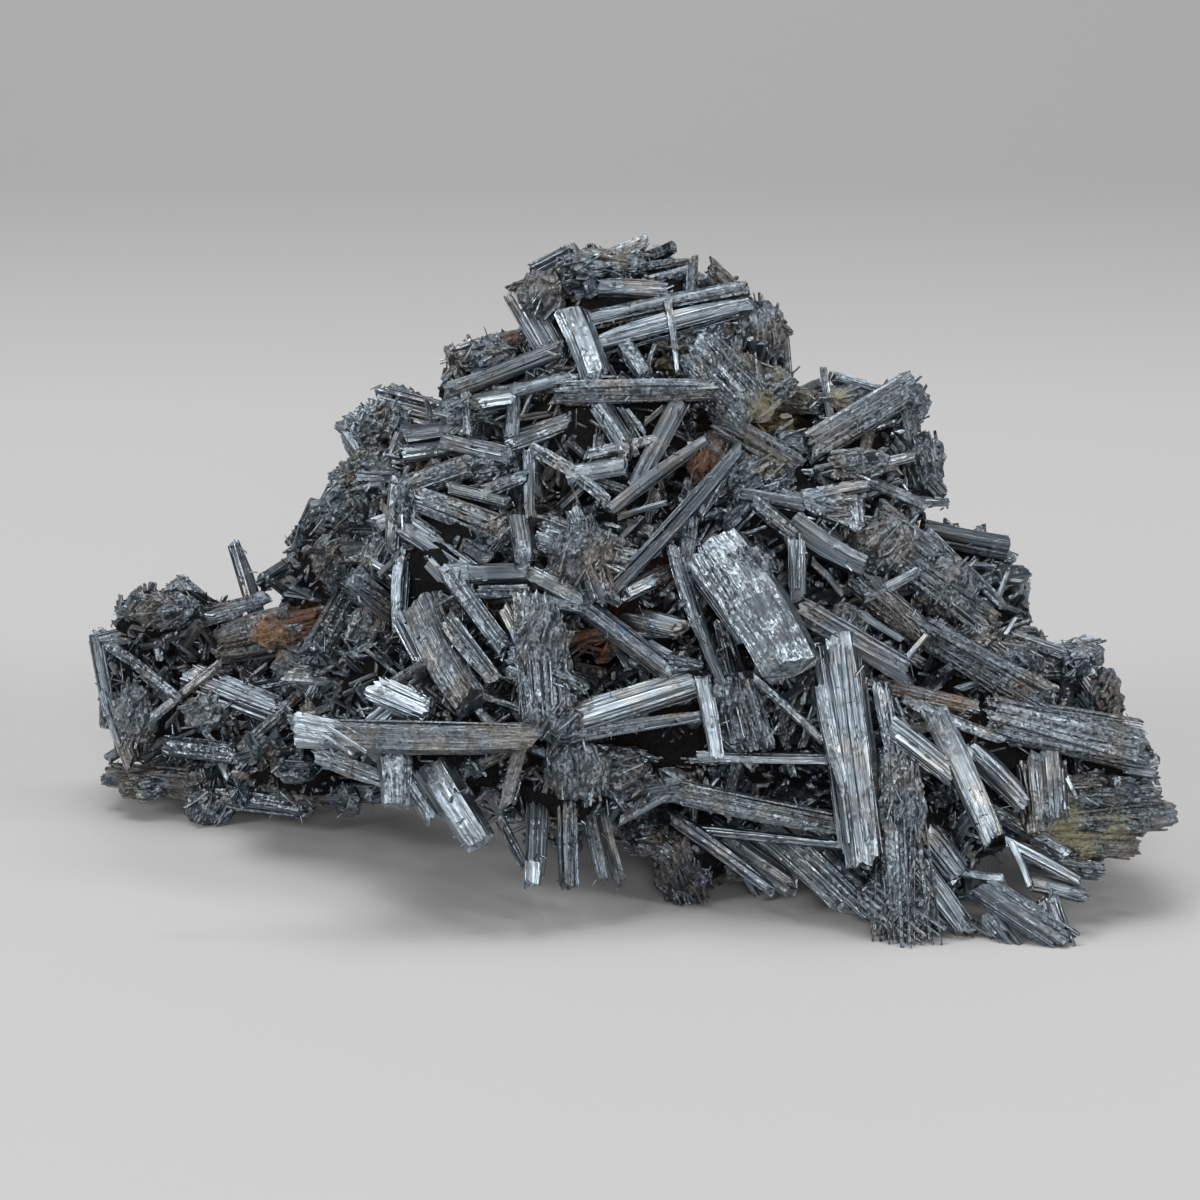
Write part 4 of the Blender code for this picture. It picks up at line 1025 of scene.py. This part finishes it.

# ---- Rough masses ------------------------------------------------------------------------
# Here and there the crystals are too small to tell apart, and make granular knots with a
# grain one way.  They are stibnite grown into the mass, bristling with short splinters.

# Centre (across, down, back), half sizes across, deep and high, the way that the grain runs
# as degrees from level on the drawing plane, then maybe a tone that paints light and shade on the mass
ROUGH_MASSES = (
    (60.4, 26.6, 18.6, 4.4, 3.0, 1.8, 10.0),
    (54.2, 29.8, 17.4, 2.4, 2.4, 2.8, 60.0),
    (76.0, 33.4, 15.8, 2.4, 2.4, 3.4, 100.0),
    (77.2, 38.8, 13.2, 2.6, 2.4, 2.0, 30.0),
    (70.6, 33.8, 15.4, 3.0, 2.0, 1.6, 20.0),
    (73.0, 37.8, 10.6, 3.2, 2.4, 3.0, 100.0),
    (58.6, 56.0, 6.2, 3.8, 2.0, 3.6, 68.0),
    (54.2, 66.0, 3.8, 2.7, 1.9, 5.4, 82.0),
    (55.6, 72.2, 2.4, 3.0, 1.6, 2.2, 60.0),
    (57.6, 77.0, 4.2, 3.2, 2.2, 3.0, 95.0),
    (48.4, 35.6, 17.0, 3.2, 1.9, 1.7, 20.0),
    (45.6, 41.2, 12.8, 1.8, 1.6, 1.5, 20.0),
    (40.6, 51.0, 12.8, 1.5, 1.6, 3.4, 80.0),
    (48.6, 46.8, 11.8, 2.6, 1.8, 1.4, 10.0),
    (49.5, 53.5, 9.0, 2.6, 1.8, 2.0, 40.0),
    (108.0, 65.5, 11.6, 2.4, 2.0, 1.6, 30.0),
    (110.4, 69.8, 11.4, 1.5, 2.0, 3.2, 80.0),
    (100.4, 66.4, 8.8, 4.2, 2.0, 2.2, -35.0),
    (94.6, 58.8, 10.0, 3.2, 2.4, 3.2, 50.0),
    (88.5, 54.5, 9.4, 3.4, 2.2, 3.0, 50.0),
    (91.2, 40.6, 12.6, 1.7, 1.8, 2.2, 60.0),
    (76.0, 47.8, 9.0, 3.6, 2.0, 2.4, 35.0),
    (97.6, 64.0, 9.8, 2.6, 2.0, 2.2, 40.0),
    (90.2, 82.5, 2.8, 2.3, 1.8, 6.4, 85.0),
    (90.6, 91.2, 2.8, 3.2, 1.9, 2.4, 70.0),
    (108.4, 79.2, 7.0, 5.4, 2.0, 1.7, 5.0),
    (109.8, 82.2, 7.6, 5.4, 1.8, 1.3, 5.0),
    (107.4, 84.6, 7.0, 3.4, 1.6, 1.3, 0.0),
    (68.2, 86.6, 13.0, 2.8, 2.3, 4.4, 115.0, 0.05),
    (64.6, 83.6, 11.6, 2.4, 2.0, 1.8, 0.0, 0.12),
    (71.4, 46.2, 11.2, 2.6, 1.8, 3.0, 70.0),
    (75.4, 40.6, 11.0, 2.2, 1.6, 1.5, 30.0),
    (78.6, 44.6, 11.4, 2.4, 1.8, 1.8, 20.0),
    (86.0, 46.4, 9.6, 3.0, 1.8, 1.6, 10.0),
    (83.6, 50.8, 8.4, 3.0, 1.8, 1.6, -10.0),
    (92.4, 46.6, 13.4, 2.0, 2.0, 3.4, 100.0),
    (84.6, 39.8, 12.8, 2.4, 1.8, 1.4, 20.0),
    (74.8, 58.2, 3.8, 2.6, 1.1, 3.6, -60.0, 0.36),
    (62.0, 77.6, 7.2, 3.0, 2.0, 2.4, 20.0),
    (73.0, 70.0, 3.6, 2.0, 1.6, 2.8, 75.0),
    (84.5, 62.5, 5.6, 2.0, 1.6, 2.2, 60.0),
    (38.4, 42.6, 27.0, 3.4, 2.6, 2.4, 60.0),
    (37.4, 47.0, 25.2, 3.0, 2.4, 2.4, 20.0),
    (35.4, 50.6, 28.6, 3.2, 2.4, 2.6, 40.0),
    (34.0, 56.0, 28.4, 2.8, 2.4, 3.2, 50.0),
    (38.4, 57.0, 22.5, 2.2, 2.4, 4.2, 80.0),
    (28.2, 63.0, 32.8, 3.8, 1.7, 1.9, 10.0),
    (37.4, 63.0, 19.0, 2.6, 2.0, 2.4, 60.0),
    (20.6, 71.4, 35.8, 2.6, 1.8, 1.8, 30.0),
    (29.6, 76.8, 25.6, 2.6, 1.8, 1.5, 10.0),
    (35.6, 68.6, 20.0, 2.4, 2.0, 2.0, 30.0),
    (16.8, 61.2, 37.6, 3.8, 2.0, 1.9, 20.0),
    (13.6, 71.6, 39.4, 2.4, 2.2, 3.2, 80.0),
    (14.6, 78.6, 40.4, 3.0, 2.0, 1.4, 5.0),
    (21.0, 80.6, 38.8, 2.6, 2.2, 2.2, 60.0),
)
FINE_MASS = 2.0                      # masses of a mean half size above this get a finer surface
GRAIN_RISE = 0.35                    # how far the grains stand out of the mass
FIBRES_PER_AREA = 2.6
FIBRE_LENGTH = (0.9, 3.0)
FIBRE_WIDTH = (0.25, 0.75)
balls = []
for steps in (3, 4):
    ball = bmesh.new()
    bmesh.ops.create_icosphere(ball, subdivisions=steps, radius=1.0)
    balls.append((np.array([vert.co for vert in ball.verts]),
                  np.array([[vert.index for vert in face.verts] for face in ball.faces])))
    ball.free()


def granular(place):
    """How far a rough mass stands out at a place of its own grain, in millimetres."""
    near, second = noise.voronoi(Vector((place[0] * 0.8, place[1] * 0.8, place[2] * 0.4)))[0][:2]
    ridge = noise.noise(Vector((place[0] * 1.6, place[1] * 1.6, place[2] * 0.35)))
    crack = math.exp(-9.0 * (second - near))
    return 0.5 * ridge - 0.4 * crack - 0.4 * near


rough = Growth("rough_masses", 20)
for across, down, back_by, half_across, half_deep, half_high, run, *tone_and_painted_light in ROUGH_MASSES:
    draw = rough.draw
    half = np.array((half_across, half_deep, half_high))
    middle = sighted((across, down, back_by))
    run = math.radians(run)
    way = SIDEWAYS * math.cos(run) + EYE_UP * math.sin(run)
    side = EYE_UP * math.cos(run) - SIDEWAYS * math.sin(run)
    ways, faces = balls[int(half.mean() > FINE_MASS)]
    own = np.stack((ways * half @ side, ways * half @ EYE_AHEAD, ways * half @ way), -1)
    own += draw.uniform(0.0, 300.0, 3)
    stand = np.array([granular(place) for place in own])
    world = middle + ways * half + unit(ways / half) * (stand[:, None] + GRAIN_RISE)
    world[:, 2] = np.maximum(world[:, 2], 0.0)
    wear = rough.some_wear(1, (0.20, 0.15, 0.9), (0.44, 0.5, 1.0))
    # A listed tone paints light and shade on the whole mass and its splinters
    if tone_and_painted_light:
        wear[:, 0] = tone_and_painted_light[0]
    rough.keep(world[None], own[None], wear, (faces,))

    # Splinters over it, most of them towards the front
    many = int(FIBRES_PER_AREA * half_across * half_high)
    out = unit(draw.normal(0.0, 1.0, (many, 3)) - EYE_AHEAD * 0.6)
    way = unit(way + draw.normal(0.0, 0.24, (many, 3)))
    length = draw.uniform(*FIBRE_LENGTH, many)
    width = draw.uniform(*FIBRE_WIDTH, many)
    near = middle + out * half - way * (length * 0.5)[:, None]
    far = middle + out * half + way * (length * 0.5)[:, None]
    wear = rough.some_wear(many, (0.2, 0.1, 0.3), (0.65, 0.6, 1.0))
    if tone_and_painted_light:
        wear[:, 0] = tone_and_painted_light[0] + draw.uniform(-0.05, 0.15, many)
    rough.splinters(near, far, out, width, width * 0.6, wear, 3, 0.3)
rough.piece()

# ---- Small crystals ----------------------------------------------------------------------
# Between the big crystals the mass bristles with small ones of stibnite at every angle, a
# few millimetres long.  They root in the part's own surface and keep clear of the big ones.
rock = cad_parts["crystal_spray"].data
rock.calc_loop_triangles()
rock_points = np.empty(len(rock.vertices) * 3)
rock.vertices.foreach_get("co", rock_points)
rock_points = rock_points.reshape(-1, 3) / MM
rock_corners = np.empty(len(rock.loop_triangles) * 3, int)
rock.loop_triangles.foreach_get("vertices", rock_corners)
rock_triangles = rock_points[rock_corners.reshape(-1, 3)]
rock_normals = np.cross(rock_triangles[:, 1] - rock_triangles[:, 0],
                        rock_triangles[:, 2] - rock_triangles[:, 0])
rock_areas = np.linalg.norm(rock_normals, axis=-1)
rock_normals /= np.maximum(rock_areas, 1e-12)[:, None]

listed = np.array([row[:7] for rows in (KNOB, BROW, LEFT_FACE, CENTRE_FACE, SHOULDER, LOW_FACE,
                                        RIGHT_LOW, WING, HIDDEN_FEET) for row in rows])
listed_near, listed_far = sighted(listed[:, :3]), sighted(listed[:, 3:6])
main_near = np.concatenate((listed_near, [row[0] for row in scattered]))
main_far = np.concatenate((listed_far, [row[1] for row in scattered]))
main_width = np.concatenate((listed[:, 6], [row[2] for row in scattered]))


def as_sighted(points):
    """The (across, down, back) of world points."""
    offset = points - SIGHT_MIDDLE
    back_by = offset @ EYE_AHEAD
    spread = 1.0 + back_by / SIGHT_DISTANCE
    across = SIGHT_CENTRE[0] + offset @ SIDEWAYS / spread
    return np.stack((across, SIGHT_CENTRE[1] - offset @ EYE_UP / spread, back_by), -1)


WING_EDGE = 42.0                     # the wing lies left of this
FRONT_LEAN = 0.3                     # faces turned further back than this count as the front
rock_middles = as_sighted(rock_triangles.mean(1))


def seats_on_rock(count, draw, front=1.0):
    """Places on the part's surface and the way they face, more of them in front if asked."""
    chance = rock_areas * (1.0 + front * np.clip(FRONT_LEAN - rock_normals @ EYE_AHEAD, 0.0, 1.0)
                           + front * (rock_middles[:, 0] < WING_EDGE))
    pick = draw.choice(len(rock_areas), count, p=chance / chance.sum())
    a, b = draw.uniform(0.0, 1.0, (2, count, 1))
    a, b = np.where(a + b > 1.0, 1.0 - a, a), np.where(a + b > 1.0, 1.0 - b, b)
    corner = rock_triangles[pick]
    return (corner[:, 0] + a * (corner[:, 1] - corner[:, 0]) + b * (corner[:, 2] - corner[:, 0]),
            rock_normals[pick])


OUTLINE_CELL = 0.6                   # size of the squares that the front outline is kept in
OUTLINE_CELLS = 201                  # each way
OUTLINE_SAMPLES = 200000
outline = np.zeros((OUTLINE_CELLS, OUTLINE_CELLS), bool)
samples = as_sighted(seats_on_rock(OUTLINE_SAMPLES, np.random.default_rng(9), 0.0)[0])
outline[tuple((samples[:, :2] / OUTLINE_CELL).astype(int).T)] = True


def within_outline(points):
    """Whether points are inside the part's outline as seen from the front."""
    cell = (as_sighted(points)[:, :2] / OUTLINE_CELL).astype(int)
    return outline[tuple(np.clip(cell, 0, OUTLINE_CELLS - 1).T)]


MAIN_SHARE = 0.45                    # of a big crystal's width that counts as its radius


def gap_to_mains(points):
    """How far points are outside the nearest big crystal."""
    axis = main_far - main_near
    share = ((points[:, None] - main_near) * axis).sum(-1) / (axis ** 2).sum(-1)
    nearest = main_near + np.clip(share, 0.0, 1.0)[..., None] * axis
    gap = np.linalg.norm(points[:, None] - nearest, axis=-1)
    return (gap - main_width * MAIN_SHARE).min(1)


HIDING_DEPTH = 7.0                   # how far ahead of a listed crystal nothing may stand


def hides_a_main(points):
    """Whether points stand close in front of a listed crystal as seen from the front."""
    seen = as_sighted(points)
    axis = listed[:, 3:5] - listed[:, 0:2]
    share = ((seen[:, None, :2] - listed[:, 0:2]) * axis).sum(-1) / (axis ** 2).sum(-1)
    share = np.clip(share, 0.0, 1.0)
    side = np.linalg.norm(seen[:, None, :2] - listed[:, 0:2] - share[..., None] * axis, axis=-1)
    level = listed[:, 2] + share * (listed[:, 5] - listed[:, 2])
    ahead = level - seen[:, None, 2]
    hidden = (side < listed[:, 6] * 0.5) & (ahead > -listed[:, 6] * 0.2) & (ahead < HIDING_DEPTH)
    return hidden.any(1)


def tangents(normals, draw, rise):
    """Random directions along a surface, lifted off it by rise."""
    way = draw.normal(0.0, 1.0, normals.shape)
    way = unit(way - normals * (way * normals).sum(-1, keepdims=True))
    return unit(way + normals * rise[:, None])


# Piece, seed, tries, lengths, widths, spacing, how far the front is favoured, and the make
SMALL_SORTS = (
    ("middling_crystals", 24, 6000, (3.5, 8.0), (0.9, 2.3), 2.3, 3.0, "lean"),
    ("small_crystals", 25, 12000, (2.0, 6.0), (0.4, 1.3), 1.0, 2.0, None),
    ("stubby_crystals", 26, 7000, (2.0, 5.5), (0.8, 2.0), 1.7, -0.3, None),
)
CLEAR_GAP = 0.2                      # least gap from a big crystal to a small one's seat
ROOT_DEPTH = 0.9
CHECKED_ALONG = (0.3, 0.5, 0.7, 0.85, 1.0)
for name, seed, tries, lengths, widths, spacing, front, make in SMALL_SORTS:
    small = Growth(name, seed)
    draw = small.draw
    seat, facing = seats_on_rock(tries, draw, front)
    bare = gap_to_mains(seat) > CLEAR_GAP
    seat, facing = seat[bare], facing[bare]
    count = len(seat)
    way = tangents(facing, draw, draw.uniform(-0.1, 0.8, count))
    length = draw.uniform(*lengths, count)
    width = np.minimum(draw.uniform(*widths, count), length / 3.0)
    near = seat - way * (length * 0.4)[:, None] - facing * ROOT_DEPTH
    far = seat + way * (length * 0.6)[:, None]
    clear = within_outline(near) & within_outline(far)
    for share in CHECKED_ALONG:
        clear &= ~hides_a_main(near + (far - near) * share)
    kept = []
    for spot in np.flatnonzero(clear):
        if not kept or np.linalg.norm(seat[kept] - seat[spot], axis=-1).min() > spacing:
            kept.append(spot)
    near, far, facing, width = near[kept], far[kept], facing[kept], width[kept]
    wear = small.some_wear(len(kept), (0.15, 0.0, 0.0), (0.6, 0.6, 0.8))
    if make:
        for one in range(len(kept)):
            grow_one(small, near[one], far[one], width[one], make, wear[one])
    else:
        small.splinters(near, far, facing, width, width * 0.65, wear, 3, 0.18)
        beside = draw.normal(0.0, 0.28, near.shape) * width[:, None]
        far = far * 0.85 + near * 0.15 + beside * 1.4
        small.splinters(near + beside, far, facing, width * 0.6, width * 0.4, wear, 3, 0.22)
    small.piece()


# ---- Needles and splinters ---------------------------------------------------------------
# Fine needles of stibnite cross the gaps, and slivers have split from every crystal.  The
# needles grew from the inner mass, and the slivers lie on the face that they came off.
def sunk(seat, bare):
    """Seats between the big crystals, moved down onto the inner mass."""
    offset = seat[:, None] - lump_centres
    level = np.sqrt(((offset / lump_sizes) ** 2).sum(-1))
    nearest = level.argmin(1)
    share = np.minimum(LUMP_SHARE / level.min(1), 1.0)[:, None]
    down = lump_centres[nearest] + offset[np.arange(len(seat)), nearest] * share
    return np.where(bare[:, None], down, seat)


NEEDLE_COUNT = 2600
NEEDLE_LENGTH = (0.8, 3.6)
NEEDLE_WIDTH = (0.10, 0.34)
NEEDLE_GAP = 0.15                    # needles seated nearer a big crystal than this lie on it
needles = Growth("needles", 22)
draw = needles.draw
seat, facing = seats_on_rock(NEEDLE_COUNT, draw)
way = tangents(facing, draw, draw.uniform(-0.05, 1.0, len(seat)))
length = draw.uniform(*NEEDLE_LENGTH, len(seat))
width = draw.uniform(*NEEDLE_WIDTH, len(seat))
on_main = gap_to_mains(seat) < NEEDLE_GAP
length = np.where(on_main, length * 0.5, length)
seat = sunk(seat, ~on_main)
near = seat - way * (length * 0.3)[:, None] - facing * 0.15
far = seat + way * (length * 0.7)[:, None]
wear = needles.some_wear(len(seat), (0.2, 0.0, 0.0), (0.8, 0.4, 0.2))
needles.splinters(near, far, facing, width, width * 0.7, wear, 2, 0.2)
needles.piece()

# ---- Crumbs ------------------------------------------------------------------------------
# Crumbs of broken stibnite, most under a millimetre long, lie in the gaps and cling to a few
# big crystals.  They have flaked off the prisms around them and caught on the rough faces.
CRUMB_COUNT = 9000
CRUMB_LENGTH = (0.3, 1.1)
CRUMB_WIDTH = (0.35, 0.8)            # of the length
CRUMBS_KEPT = 0.35                   # share of those on a big crystal that stay
crumbs = Growth("crumbs", 23)
draw = crumbs.draw
seat, facing = seats_on_rock(CRUMB_COUNT, draw)
on_main = gap_to_mains(seat) < CLEAR_GAP
stay = ~on_main | (draw.uniform(0.0, 1.0, len(seat)) < CRUMBS_KEPT)
seat, facing, on_main = sunk(seat, ~on_main)[stay], facing[stay], on_main[stay]
way = tangents(facing, draw, draw.uniform(-0.2, 1.2, len(seat)))
length = draw.uniform(*CRUMB_LENGTH, len(seat)) * np.where(on_main, 0.6, 1.2)
width = length * draw.uniform(*CRUMB_WIDTH, len(seat))
near = seat - way * (length * 0.5)[:, None] - facing * 0.05
far = seat + way * (length * 0.5)[:, None]
wear = crumbs.some_wear(len(seat), (0.1, 0.1, 0.0), (0.75, 0.9, 0.5))
crumbs.splinters(near, far, facing, width, width * 0.7, wear, 2, 0.25)
crumbs.piece()

# ---- Floor and light ---------------------------------------------------------------------
# The spray stands loose on pale paper, which is one sheet curved up behind it; its grey is painted
# light, lighter just behind the spray and darker in front and up the back.
# A big soft lamp hangs over it, with softer ones round it and two small ones for the glints.
PAPER_HALF = 1.2                     # these four in metres
PAPER_FRONT = -1.0
PAPER_BACK = 0.45
PAPER_BEND = 0.35
PAPER_TOP = 1.2
# Painted light on the paper: greys for the front, just behind the spray, and up the back
PAPER_PAINTED_LIGHT_GREYS = ((0.450, 0.447, 0.445, 1.0), (0.515, 0.511, 0.508, 1.0), (0.438, 0.432, 0.427, 1.0))
PAPER_PAINTED_LIGHT_DEPTHS = (-0.15, 0.60)         # where the first grey ends and the last begins
profile = [(PAPER_FRONT, 0.0), (PAPER_BACK, 0.0)]
profile += [(PAPER_BACK + PAPER_BEND * math.sin(a), PAPER_BEND * (1.0 - math.cos(a)))
            for a in np.linspace(0.0, math.pi / 2.0, 24)[1:]]
profile.append((PAPER_BACK + PAPER_BEND, PAPER_TOP))
paper_mesh = bpy.data.meshes.new("paper")
paper_mesh.from_pydata([(x, y, z) for y, z in profile for x in (-PAPER_HALF, PAPER_HALF)], [],
                       [(2 * i, 2 * i + 1, 2 * i + 3, 2 * i + 2) for i in range(len(profile) - 1)])
paper_mesh.shade_smooth()
paper = bpy.data.objects.new("paper", paper_mesh)
bpy.context.scene.collection.objects.link(paper)
paper_material = bpy.data.materials.new("pale paper with painted light")
paper_material.use_nodes = True
paper_shader = paper_material.node_tree.nodes["Principled BSDF"]
paper_place = Thread(paper_material.node_tree).node("TexCoord", give=3)
paper_painted_light = paper_place.part(1).ramped(*PAPER_PAINTED_LIGHT_DEPTHS).coloured(PAPER_PAINTED_LIGHT_GREYS)
paper_material.node_tree.links.new(paper_painted_light.end, paper_shader.inputs["Base Color"])
paper_shader.inputs["Roughness"].default_value = 0.8
paper_shader.inputs["Specular IOR Level"].default_value = 0.2
paper_mesh.materials.append(paper_material)

# Lamps: name, place and size in metres, then watts.  All point at the middle of the spray
LAMPS = (
    ("sky", (-0.10, 0.08, 0.95), 0.60, 6.6),
    ("window", (-0.65, -0.40, 0.40), 0.25, 2.8),
    ("right", (0.60, -0.40, 0.40), 0.20, 2.4),
    ("front", (0.05, -0.85, 0.30), 0.25, 2.4),
    ("glint left", (-0.22, -0.30, 0.50), 0.03, 0.19),
    ("glint right", (0.28, 0.05, 0.52), 0.03, 0.19),
)
LIT_POINT = Vector((0.0, 0.0, 0.03))
ROOM_COLOUR = (0.80, 0.83, 0.88, 1.0)
ROOM_STRENGTH = 0.19
for name, place, size, power in LAMPS:
    lamp = bpy.data.lights.new(name, "AREA")
    lamp.size = size
    lamp.energy = power
    holder = bpy.data.objects.new(name, lamp)
    holder.location = place
    holder.rotation_mode = "QUATERNION"
    holder.rotation_quaternion = (LIT_POINT - Vector(place)).to_track_quat("-Z", "Y")
    bpy.context.scene.collection.objects.link(holder)
world = bpy.data.worlds.new("studio")
world.use_nodes = True
world.node_tree.nodes["Background"].inputs["Color"].default_value = ROOM_COLOUR
world.node_tree.nodes["Background"].inputs["Strength"].default_value = ROOM_STRENGTH
bpy.context.scene.world = world
bpy.context.scene.view_settings.view_transform = "Standard"

bpy.context.view_layer.update()
